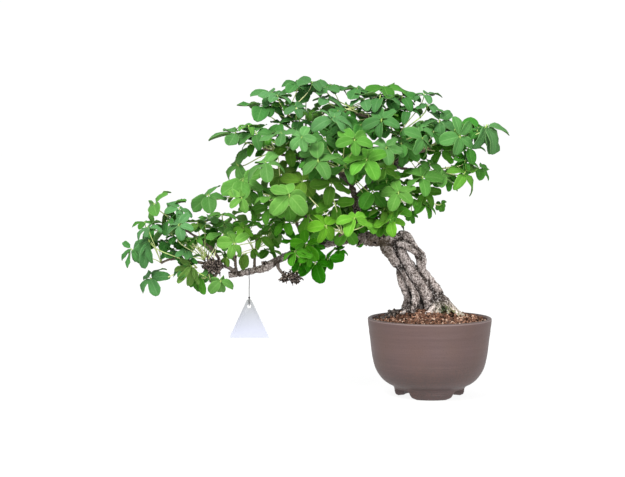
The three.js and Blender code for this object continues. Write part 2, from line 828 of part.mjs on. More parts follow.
// All the wood in one piece, down to the roots and out to the stub of every spray.
function makeTrunk() {
  const allSprays = [...Object.values(SPRAYS), ...Object.values(BACK_SPRAYS)];
  return fuse([
    ...GROUNDED.map((stations) => taperedTube(stations, 6, 1)),
    taperedTube(FRONT_STEM, 6, 1),
    taperedTube(LOOP_INNER, 6, 1),
    taperedTube(LIMB, 6, 1),
    taperedTube(LEADER, 6, 1),
    ...BRANCHES.map((stations) => taperedTube(stations, 4, 1)),
    ...allSprays.map(makeStub),
  ]);
}

// A spray is its stem with all its leaves, each leaf on the nearest spur of the stem.
function makeSpray(spray) {
  const spurs = spray.stem.map((at) => vec(...at));
  const leaves = spray.leaves ? spray.leaves.map(frontLeaf) : backLeaves(spray);
  return fuse([makeStem(spray), ...leaves.map((leaf) => makeLeaf(leaf, spurs))]);
}

const stoneware = new THREE.MeshStandardMaterial({ color: 0x6b5654, roughness: 0.75, metalness: 0 });
const earth = new THREE.MeshStandardMaterial({ color: 0x7a4a34, roughness: 1, metalness: 0 });
const bark = new THREE.MeshStandardMaterial({ color: 0x86776c, roughness: 0.95, metalness: 0 });
const leafGreen = new THREE.MeshStandardMaterial({ color: 0x4d9a3f, roughness: 0.5, metalness: 0 });
const mesh = new THREE.MeshStandardMaterial({ color: 0x23282a, roughness: 0.6, metalness: 0 });
const white = new THREE.MeshStandardMaterial({ color: 0xe9ebec, roughness: 0.4, metalness: 0 });
const twine = new THREE.MeshStandardMaterial({ color: 0x9a9a94, roughness: 0.9, metalness: 0 });

const tree = new THREE.Group();
function place(name, solid, material) {
  const piece = new THREE.Mesh(toGeometry(solid), material);
  piece.name = name;
  tree.add(piece);
  return piece;
}
const standing = [
  place("pot", makePot(), stoneware),
  place("drain_mesh", makeDrainMesh(), mesh),
  place("soil", makeSoil(), earth),
  place("trunk", makeTrunk(), bark),
];
for (const [name, spray] of Object.entries({ ...SPRAYS, ...BACK_SPRAYS })) {
  standing.push(place("spray_" + name, makeSpray(spray), leafGreen));
}
place("tag", makeTag(), white);
place("tag_string", makeString(), twine);

// The hanging tag is left out of the extent, so that it doesn't shift the origin.
const extent = new THREE.Box3();
for (const piece of standing) extent.expandByObject(piece);
const middle = extent.getCenter(vec(0, 0, 0));
tree.position.set(-middle.x, -middle.y, -extent.min.z);

export default tree;
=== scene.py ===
import math
import random

import bpy
import numpy as np
from mathutils import Matrix, Vector, noise


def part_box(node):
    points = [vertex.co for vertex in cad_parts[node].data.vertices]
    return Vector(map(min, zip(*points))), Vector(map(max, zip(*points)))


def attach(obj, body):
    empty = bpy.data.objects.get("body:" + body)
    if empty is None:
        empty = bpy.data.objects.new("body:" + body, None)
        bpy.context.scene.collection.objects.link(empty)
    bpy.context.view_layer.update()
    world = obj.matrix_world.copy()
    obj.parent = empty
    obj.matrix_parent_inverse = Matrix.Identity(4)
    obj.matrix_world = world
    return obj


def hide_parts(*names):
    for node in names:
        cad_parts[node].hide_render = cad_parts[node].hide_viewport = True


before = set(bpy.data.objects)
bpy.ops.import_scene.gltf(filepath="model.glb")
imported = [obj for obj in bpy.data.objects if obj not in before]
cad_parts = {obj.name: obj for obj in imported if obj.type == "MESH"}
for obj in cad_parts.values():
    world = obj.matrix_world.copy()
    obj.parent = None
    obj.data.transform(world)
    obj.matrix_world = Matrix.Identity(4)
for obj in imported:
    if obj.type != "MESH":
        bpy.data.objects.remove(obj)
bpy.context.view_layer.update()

# Studio: a camera two metres away, at the height of the crown and tipped a little down, a pale floor, a white
# room and two soft boxes. Places are in millimetres from the pot's axis at ground level, as for every piece
# below.
MM = 0.001
pot_low, pot_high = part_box("pot")
POT_AXIS = Vector(((pot_low.x + pot_high.x) / 2, (pot_low.y + pot_high.y) / 2, 0))
CAMERA_PLACE = (-151.6, -2000, 329.4)
CAMERA_PITCH_DOWN = 3.58
CAMERA_LENS = 89.45
TREE_MIDDLE = (-120, 0, 200)
ROOM_LIGHT = 1.02
FLOOR_WIDTH = 60
FLOOR_GLOW = 0.90


def place(x, y, z):
    """A point given in millimetres from the pot's axis, in the row frame."""
    return POT_AXIS + Vector((x, y, z)) * MM


bpy.ops.object.select_all(action="DESELECT")
camera_turn = (math.radians(90 - CAMERA_PITCH_DOWN), 0, 0)
bpy.ops.object.camera_add(location=place(*CAMERA_PLACE), rotation=camera_turn)
camera = bpy.context.object
camera.name = "camera"
camera.data.sensor_width = 36
camera.data.lens = CAMERA_LENS
camera.data.clip_end = FLOOR_WIDTH
bpy.context.scene.camera = camera
bpy.context.scene.view_settings.view_transform = "Standard"


def soft_box(name, where, width, watts, colour):
    """A round lamp that faces the middle of the tree."""
    bpy.ops.object.light_add(type="AREA", location=where)
    lamp = bpy.context.object
    lamp.name = name
    lamp.data.shape = "DISK"
    lamp.data.size = width
    lamp.data.energy = watts
    lamp.data.color = colour
    lamp.rotation_euler = (place(*TREE_MIDDLE) - lamp.location).to_track_quat("-Z", "Y").to_euler()


soft_box("key_light", place(-900, -1300, 2200), width=1.1, watts=92, colour=(1, 0.98, 0.94))
soft_box("fill_light", place(900, -2100, 500), width=1.8, watts=44, colour=(1, 0.99, 0.98))

room = bpy.data.worlds.new("white_room")
room.use_nodes = True
room.node_tree.nodes["Background"].inputs["Color"].default_value = (1, 1, 1, 1)
room.node_tree.nodes["Background"].inputs["Strength"].default_value = ROOM_LIGHT
bpy.context.scene.world = room


class Wire:
    """A number that changes over a surface. Arithmetic on it adds Math nodes."""

    def __init__(self, tree, socket):
        self.tree = tree
        self.socket = socket

    def maths(self, operation, *values):
        return add_node(self.tree, "ShaderNodeMath", {"operation": operation}, sockets=enumerate(values))

    def __add__(self, other):
        return self.maths("ADD", self, other)

    __radd__ = __add__

    def __sub__(self, other):
        return self.maths("SUBTRACT", self, other)

    def __rsub__(self, other):
        return self.maths("SUBTRACT", other, self)

    def __mul__(self, other):
        return self.maths("MULTIPLY", self, other)

    __rmul__ = __mul__

    def __abs__(self):
        return self.maths("ABSOLUTE", self)

    def fraction(self):
        return self.maths("FRACT", self)

    def ramp(self, low, high):
        """0 up to low, 1 from high on, straight between them."""
        settings = {"clamp": True}
        ends = {"from_min": low, "from_max": high}
        return add_node(self.tree, "ShaderNodeMapRange", settings, "Result", value=self, **ends)


def feed(tree, slot, value):
    """Links a Wire to a socket, or sets the socket's own value."""
    if isinstance(value, Wire):
        tree.links.new(value.socket, slot)
    elif slot.type == "RGBA":
        slot.default_value = (*value, 1)
    else:
        slot.default_value = value


def socket_name(word):
    return word.replace("_", " ").title().replace("Ior", "IOR")


def add_node(tree, kind, settings=(), output=0, sockets=(), **named):
    """A node with its settings, then the values or links of its sockets, by number or by name."""
    node = tree.nodes.new(kind)
    for name, value in dict(settings).items():
        setattr(node, name, value)
    for number, value in dict(sockets).items():
        feed(tree, node.inputs[number], value)
    for name, value in named.items():
        feed(tree, node.inputs[socket_name(name)], value)
    return Wire(tree, node.outputs[output])


class Finish:
    """A material on the Principled shader. Its uniform values are set on the shader's own sockets."""

    def __init__(self, name, **uniform):
        self.material = bpy.data.materials.new(name)
        self.material.use_nodes = True
        self.tree = self.material.node_tree
        self.shader = self.tree.nodes["Principled BSDF"]
        for socket, value in uniform.items():
            self.drive(socket_name(socket), value)

    def node(self, kind, *details, **named):
        return add_node(self.tree, kind, *details, **named)

    def drive(self, socket, value):
        feed(self.tree, self.shader.inputs[socket], value)

    def blend(self, share, first, second, kind="MIX"):
        """Colour `first` where share is 0 and `second` where it is 1."""
        settings = {"data_type": "RGBA", "blend_type": kind}
        return self.node("ShaderNodeMix", settings, 2, {0: share, 6: first, 7: second})

    def layered(self, colour, *coats):
        """A colour under coats of (share, colour), each over the last."""
        for share, coat in coats:
            colour = self.blend(share, colour, coat)
        return colour

    def spot(self, stretch=(1, 1, 1)):
        """Where on the piece a point lies, in metres, drawn out by `stretch`."""
        here = self.node("ShaderNodeTexCoord", output="Object")
        return self.node("ShaderNodeMapping", vector=here, scale=stretch)

    def grain(self, scale, detail=3.0, stretch=(1, 1, 1)):
        where = self.spot(stretch)
        return self.node("ShaderNodeTexNoise", output="Fac", vector=where, scale=scale, detail=detail)

    def pores(self, scale):
        """How far each place is from the nearest of many scattered points, 0 at a point."""
        return self.node("ShaderNodeTexVoronoi", output="Distance", vector=self.spot(), scale=scale)

    def height(self):
        here = self.node("ShaderNodeTexCoord", output="Object")
        return self.node("ShaderNodeSeparateXYZ", output="Z", vector=here)

    def painted(self, attribute, output="Fac"):
        """A value or colour stored on the mesh itself."""
        return self.node("ShaderNodeAttribute", {"attribute_name": attribute}, output)

    def bump(self, relief, depth, strength):
        bumped = self.node("ShaderNodeBump", (), "Normal", height=relief, distance=depth, strength=strength)
        self.drive("Normal", bumped)


bpy.ops.mesh.primitive_plane_add(size=FLOOR_WIDTH, location=(0, 0, 0))
floor = bpy.context.object
floor.name = "floor"
floor_paint = Finish("floor_paint", roughness=1.0, specular_ior_level=0.0, base_color=(0.12, 0.12, 0.12))
floor_paint.drive("Emission Color", (1, 1, 1))
floor_paint.drive("Emission Strength", FLOOR_GLOW)
floor.data.materials.append(floor_paint.material)

# Pot: a round bowl of unglazed dark stoneware, thrown on a wheel, with a rolled lip. The foot ring was cut by
# three arches while the clay was soft, which leaves three feet, and the wheel left fine rings round the wall.
POT_RADIUS = 80
POT_HEIGHT = 102
POT_WALL = 5
POT_SIDES = 120
LIP_OUTSIDE = (1.7, 1.8)
LIP_INSIDE = (1.3, 1.4)
FLOOR_UNDERSIDE = 12.5
FLOOR_TOP = 18
FOOT_OUTER = 41.5
FOOT_INNER = 32
DRAIN_RADIUS = 7
ARCH_TURNS = (60, 180, 300)
ARCH_CUT = 46
ARCH_CUT_MIDDLE = -45
ARCH_SIDE = [
    (23, -1), (21.7, 0.1), (19.6, 1.5), (18.3, 3.8), (17.3, 6.4), (16.1, 8.8), (13.6, 10.6), (9, 11.2),
]
ARCH_OUTLINE = ARCH_SIDE + [(-side, up) for side, up in reversed(ARCH_SIDE)]
BOWL_OUTSIDE = [
    (43.6, 2.4), (44.8, 5.5), (45.3, 9.2), (46.8, 12.8), (56, 18.4), (62, 23.6), (68.8, 33.5), (73, 46),
    (77, 73.5), (80, 98),
]
BOWL_INSIDE = [(75, 98), (72, 74), (68, 48), (62, 34), (50, 22), (36, FLOOR_TOP)]


def finish_piece(piece, name, material):
    piece.name = name
    piece.data.name = name
    piece.data.materials.clear()
    piece.data.materials.append(material)
    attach(piece, "root")


def only(piece):
    bpy.ops.object.select_all(action="DESELECT")
    piece.select_set(True)
    bpy.context.view_layer.objects.active = piece


def settle(piece):
    """Puts a piece's place, turn and size into its mesh."""
    only(piece)
    bpy.ops.object.transform_apply(location=True, rotation=True, scale=True)


def modify(piece, kind, **settings):
    """Adds a modifier with these settings and applies it."""
    only(piece)
    modifier = piece.modifiers.new(kind.lower(), kind)
    for name, value in settings.items():
        setattr(modifier, name, value)
    bpy.ops.object.modifier_apply(modifier=modifier.name)


def cut_away(piece, tool):
    """Cuts a closed tool out of a piece. The tool is used up."""
    modify(piece, "BOOLEAN", operation="DIFFERENCE", solver="EXACT", object=tool)
    bpy.data.objects.remove(tool)


def between(first, second, start, end, now):
    return (first * (end - now) + second * (now - start)) / (end - start)


def smooth_line(points, steps):
    """Points on a centripetal Catmull-Rom curve through `points`, with `steps` to each stretch."""
    points = [np.array(p, float) for p in points]
    ends = [2 * points[0] - points[1], *points, 2 * points[-1] - points[-2]]
    line = []
    for i in range(len(points) - 1):
        p = ends[i : i + 4]
        knots = [0.0]
        for a, b in zip(p, p[1:]):
            knots.append(knots[-1] + max(np.linalg.norm((b - a)[:3]), 1e-6) ** 0.5)
        for k in range(steps + (i == len(points) - 2)):
            t = knots[1] + (knots[2] - knots[1]) * k / steps
            layer = p
            for reach in (1, 2):
                pairs = zip(layer, layer[1:], knots, knots[reach:])
                layer = [between(first, second, start, end, t) for first, second, start, end in pairs]
            line.append(between(layer[0], layer[1], knots[1], knots[2], t))
    return line


def throw(profile, sides):
    """Turns a profile of (radius, height), in millimetres, round the pot's axis, ring by ring."""
    radius, height = profile[0]
    start = POT_AXIS + Vector((0, 0, height * MM))
    bpy.ops.mesh.primitive_circle_add(vertices=sides, radius=radius * MM, location=start)
    piece = bpy.context.object
    settle(piece)
    bpy.ops.object.mode_set(mode="EDIT")
    bpy.ops.mesh.select_all(action="SELECT")
    for wide, high in profile[1:]:
        bpy.ops.mesh.extrude_edges_move(TRANSFORM_OT_translate={"value": (0, 0, (high - height) * MM)})
        middle = POT_AXIS + Vector((0, 0, high * MM))
        bpy.ops.transform.resize(value=(wide / radius, wide / radius, 1), center_override=middle)
        radius, height = wide, high
    bpy.ops.object.mode_set(mode="OBJECT")
    return piece


def close_up(piece):
    """Merges the points of a shell's seams and ends, and turns its faces outwards."""
    only(piece)
    bpy.ops.object.mode_set(mode="EDIT")
    bpy.ops.mesh.select_all(action="SELECT")
    bpy.ops.mesh.remove_doubles(threshold=1e-6)
    bpy.ops.mesh.normals_make_consistent(inside=False)
    bpy.ops.object.mode_set(mode="OBJECT")


def arc(radius, height, size, degrees):
    """Points (radius, height) on an ellipse of this size round a middle, at these angles."""
    turns = [math.radians(turn) for turn in degrees]
    return [(radius + size[0] * math.cos(turn), height + size[1] * math.sin(turn)) for turn in turns]


def pot_profile():
    """From the inside of the foot ring, out and up the wall, over the lip and down to the drain hole."""
    rings = []
    for radius, height in smooth_line(BOWL_OUTSIDE, 11):
        ripple = 0.10 * math.sin(height * 2.3) + 0.16 * noise.noise(Vector((0, 3.1, height * 0.55)))
        rings.append((radius + ripple, height))
    lip = arc(POT_RADIUS - LIP_OUTSIDE[0], POT_HEIGHT - LIP_OUTSIDE[1], LIP_OUTSIDE, range(0, 91, 18))
    inner_edge = POT_RADIUS - POT_WALL + LIP_INSIDE[0]
    lip += arc(inner_edge, POT_HEIGHT - LIP_INSIDE[1], LIP_INSIDE, (90, 112.5, 135, 157.5, 180))
    inside = [tuple(p) for p in smooth_line(BOWL_INSIDE, 4)]
    foot = [(FOOT_INNER + 1.5, FLOOR_UNDERSIDE), (FOOT_INNER, 1), (FOOT_INNER + 1, 0), (FOOT_OUTER - 1.2, 0)]
    drain = [(DRAIN_RADIUS, FLOOR_TOP), (DRAIN_RADIUS, FLOOR_UNDERSIDE), foot[0]]
    return [*foot, (FOOT_OUTER, 1.2), *rings, *lip, *inside, *drain]


def arch_cutter(turn):
    """A bar with the outline of an arch, pushed out through the foot ring and turned round the pot."""
    corners = len(ARCH_OUTLINE)
    bpy.ops.mesh.primitive_circle_add(vertices=corners, radius=1, fill_type="NGON", location=(0, 0, 0))
    bar = bpy.context.object
    for vertex, (side, up) in zip(bar.data.vertices, ARCH_OUTLINE):
        vertex.co = (side * MM, ARCH_CUT_MIDDLE * MM, up * MM)
    modify(bar, "SOLIDIFY", thickness=ARCH_CUT * MM, offset=0)
    bar.location = POT_AXIS
    bar.rotation_euler.z = math.radians(turn)
    settle(bar)
    close_up(bar)
    return bar


pot = throw(pot_profile(), POT_SIDES)
close_up(pot)
for turn in ARCH_TURNS:
    cut_away(pot, arch_cutter(turn))
modify(pot, "BEVEL", width=1.5 * MM, segments=3, limit_method="ANGLE", angle_limit=math.radians(38))
only(pot)
bpy.ops.object.shade_smooth_by_angle(angle=math.radians(40))

stoneware = Finish("stoneware", specular_ior_level=0.3)
streaks = stoneware.grain(9, 6, (1, 1, 30))
wiping = stoneware.grain(70, 3, (1, 1, 0.10))
clouds = stoneware.grain(22, 4)
specks = stoneware.grain(950, 1).ramp(0.62, 0.72)
pits = stoneware.grain(420, 3)
low_down = 1 - stoneware.height().ramp(0.012, 0.066)
# Painted light on the lip: a painted highlight where its rounded outer shoulder turns up, and painted shade
# over its flat top.
lip_top_shade = stoneware.height().ramp(0.1010, 0.1016)
lip_highlight = stoneware.height().ramp(0.0995, 0.1003) * (1 - lip_top_shade)
clay = stoneware.layered(
    (0.074, 0.046, 0.045),
    (streaks.ramp(0.3, 0.7), (0.093, 0.059, 0.057)),
    (clouds.ramp(0.38, 0.62) * 0.6, (0.088, 0.053, 0.045)),
    (low_down * pits.ramp(0.42, 0.60) * 0.75, (0.062, 0.047, 0.045)),
    (specks * 0.5, (0.045, 0.031, 0.029)),
    # painted highlight on the lip's outer shoulder, then painted shade over its flat top
    (lip_highlight * 0.34, (0.24, 0.19, 0.19)),
    (lip_top_shade * 0.7, (0.045, 0.031, 0.028)),
    (low_down * wiping.ramp(0.50, 0.62) * 0.45, (0.062, 0.044, 0.042)),
)
stoneware.drive("Base Color", clay)
stoneware.drive("Roughness", 0.42 + 0.2 * clouds)
stoneware.bump(streaks * 0.5 + pits * 0.4, 0.6 * MM, 0.45)
finish_piece(pot, "bowl", stoneware.material)
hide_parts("pot")

# Drain mesh: a black plastic net that lies over the hole in the floor of the pot, under the soil. The solid
# has all of its bars, so it only gets its finish here.
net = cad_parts["drain_mesh"]
net_plastic = Finish("net_plastic", base_color=(0.02, 0.022, 0.024), roughness=0.55)
net.material_slots[0].material = net_plastic.material

# Wood: the stems, grown together and twisted over many years, and the long limb that was bent down and cut
# off at its end. Each stem follows its own line of (x, y, z, radius); together they become one skin, which
# then gets its bark.
STEMS = {
    "bole": [
        (-48, 4, 207, 8), (-41, 4, 201, 7), (-38, 3, 191, 6.8), (-35, 2, 181, 7.5), (-29, 1, 171, 8),
        (-22, 0, 162, 8.4), (-15, -1, 152, 9.2), (-8, -2, 144, 10.4), (-1, -2, 134, 11.6), (3, -1, 124, 12.2),
        (7, 0, 112, 13), (9, 0, 99, 12),
    ],
    "front_stem_outer": [
        (-41, -6, 166, 4.6), (-40, -6, 158, 4.2), (-37, -5, 147, 4.1), (-33, -2, 137, 4.2),
        (-29, 2, 128, 4.6), (-30, 8, 118, 4.6), (-36, 13, 108, 4), (-40, 16, 101, 3),
    ],
    "front_stem_inner": [
        (-40, -7, 166, 4), (-34, -9, 158, 3.4), (-29, -10, 150, 3.2), (-24, -11, 142, 3.5),
        (-20, -12, 134, 4.4), (-19, -13, 126, 4.8), (-22, -14, 119, 5.2), (-24, -15, 112, 5.8),
        (-25, -16, 106, 6.2), (-27, -17, 99, 6),
    ],
    "loop_outer": [
        (-46, 2, 202, 6.2), (-38, 2, 208, 6.3), (-32, 1, 208, 6.2), (-27, 1, 203, 5.8), (-22, 0, 195, 5.6),
        (-17, -1, 188, 5.8), (-12, -2, 181, 6.8), (-11, -3, 175, 6.8), (-11, -3, 167, 6.2),
        (-8, -3, 160, 6.2), (-3, -4, 152, 7), (6, -4, 138, 8.6), (13, -4, 124, 9.5), (17, -3, 109, 10),
        (19, -2, 99, 9),
    ],
    "root_front": [
        (7, -9, 125, 5), (5, -16, 119, 4.4), (1, -21, 114, 4), (-4, -24, 110, 3.6), (-8, -26, 104, 3),
    ],
    "root_knee": [(5, -8, 126, 5), (8, -16, 116, 4.4), (10, -20, 108, 4.2), (12, -22, 99, 3.6)],
    "root_lobe": [(-24, -12, 118, 5.2), (-28, -14, 113, 3.8), (-35, -14, 108, 3.4), (-43, -13, 102, 2.6)],
    "root_splay": [
        (15, -8, 130, 5), (23, -12, 122, 4.4), (29, -17, 114, 4), (35, -21, 106, 3.4), (40, -24, 99, 2.6),
    ],
    "root_ridge": [(14, -9, 128, 4), (19, -15, 120, 3.2), (22, -20, 111, 3), (24, -24, 103, 2.6)],
    "root_right": [(16, -3, 127, 6), (28, -3, 114, 5.6), (39, -3, 106, 4), (50, -3, 99, 2.6)],
    "root_back": [(2, 6, 124, 7), (3, 20, 112, 6), (6, 36, 100, 3)],
    "back_stem": [
        (-46, 6, 194, 7), (-43, 6, 186, 6), (-36, 7, 172, 6), (-27, 8, 150, 7.5), (-17, 10, 128, 9.5),
        (-9, 12, 103, 12),
    ],
    "front_stem": [
        (-66, -1, 203, 7), (-60, -2, 198, 7.4), (-55, -3, 190, 7), (-50, -4, 182, 6.2), (-46, -5, 175, 5.6),
        (-42, -6, 169, 5.2), (-39, -6, 163, 4.6),
    ],
    "loop_inner": [
        (-46, -3, 200, 4.8), (-39, -6, 199, 4.8), (-31, -7, 195, 4.5), (-24, -7, 190, 4.2),
        (-17, -5, 185, 4.4), (-11, -3, 178, 4),
    ],
    "limb": [
        (-44, 2, 203, 9.5), (-58, 1, 204, 10.4), (-71, 0, 204, 10.2), (-88, -1, 205, 8.5),
        (-103, -2, 205, 7.2), (-121, -3, 202, 6.4), (-146, -4, 195, 5.9), (-172, -3, 187, 5),
        (-195, -2, 177, 4.7), (-211, -1, 168, 6), (-221, 0, 164, 4.8), (-240, 0, 160, 4.4),
        (-260, 0, 157, 4.2),
    ],
    "leader": [
        (-101, -1, 206, 6), (-94, 4, 230, 5.2), (-97, 7, 256, 4.5), (-102, 6, 282, 4.1), (-95, 4, 310, 3.4),
        (-85, 2, 338, 2.6),
    ],
}
BRANCHES = [
    [(-100, 6, 272, 3.4), (-119, -2, 290, 2.9), (-145, -10, 300, 2.6), (-170, -18, 308, 2.2)],
    [(-97, 7, 256, 3.4), (-80, 12, 272, 3), (-59, 14, 290, 2.6), (-36, 10, 305, 2.4)],
    [(-60, 0, 208, 4), (-52, -6, 228, 3.1), (-42, -10, 240, 2.6)],
    [(-139, -4, 197, 4), (-150, -16, 219, 3.1), (-162, -26, 237, 2.5)],
    [(-165, -5, 187, 4), (-173, -8, 175, 3.4), (-176, -10, 164, 3)],
    [(-247, 0, 159, 3), (-263, -3, 168, 2.6), (-279, -6, 171, 2.3)],
    [(-196, -3, 176, 2.8), (-196, -7, 168, 2.4), (-191, -11, 161, 2.1), (-185, -13, 156, 2.4)],
]
FINE_ROOTS = [
    [(20, -12, 126, 1.9), (30, -14, 116, 1.7), (40, -12, 108, 1.5), (51, -9, 102, 1.2)],
    [(22, -10, 122, 1.7), (28, -17, 112, 1.6), (33, -22, 104, 1.3)],
    [(16, -14, 122, 1.8), (20, -19, 113, 1.6), (22, -24, 105, 1.3)],
    [(10, -14, 120, 1.9), (7, -19, 112, 1.7), (3, -23, 106, 1.4)],
    [(-20, -12, 116, 2.4), (-26, -18, 110, 2), (-33, -21, 105, 1.4)],
    [(-22, -11, 114, 2.2), (-18, -18, 109, 1.8), (-14, -24, 105, 1.3)],
    [(-34, 12, 112, 2.8), (-44, 10, 107, 2.2), (-54, 6, 103, 1.5)],
    [(12, -13, 118, 2), (14, -19, 111, 2.2), (19, -24, 106, 1.8), (26, -27, 102, 1.4)],
    [(26, -10, 121, 1.8), (34, -13, 113, 1.9), (38, -17, 107, 1.6), (47, -19, 103, 1.3)],
    [(2, -16, 116, 2), (-2, -22, 109, 2), (2, -26, 104, 1.6)],
    [(8, -17, 113, 2.2), (12, -22, 107, 2), (9, -26, 103, 1.6)],
    [(-24, -20, 107, 2), (-31, -22, 104, 1.6), (-38, -22, 102, 1.2)],
]
BARK_VOXEL = 1.05
STEM_FOOT = 2
STEM_TIP = 1.3
STUB_FOOT = STEM_FOOT + 0.4
RUN_SHIFT = 61
ROOTS_BELOW = 127
PALE_FROM = -2
LIMB_FROM = -44
LIMB_FADES_FROM = -150
HOLLOW_BELOW = 134
HOLLOW_SIDES = (-24, -2)
HOLLOW_DEPTH = (-3, 12)

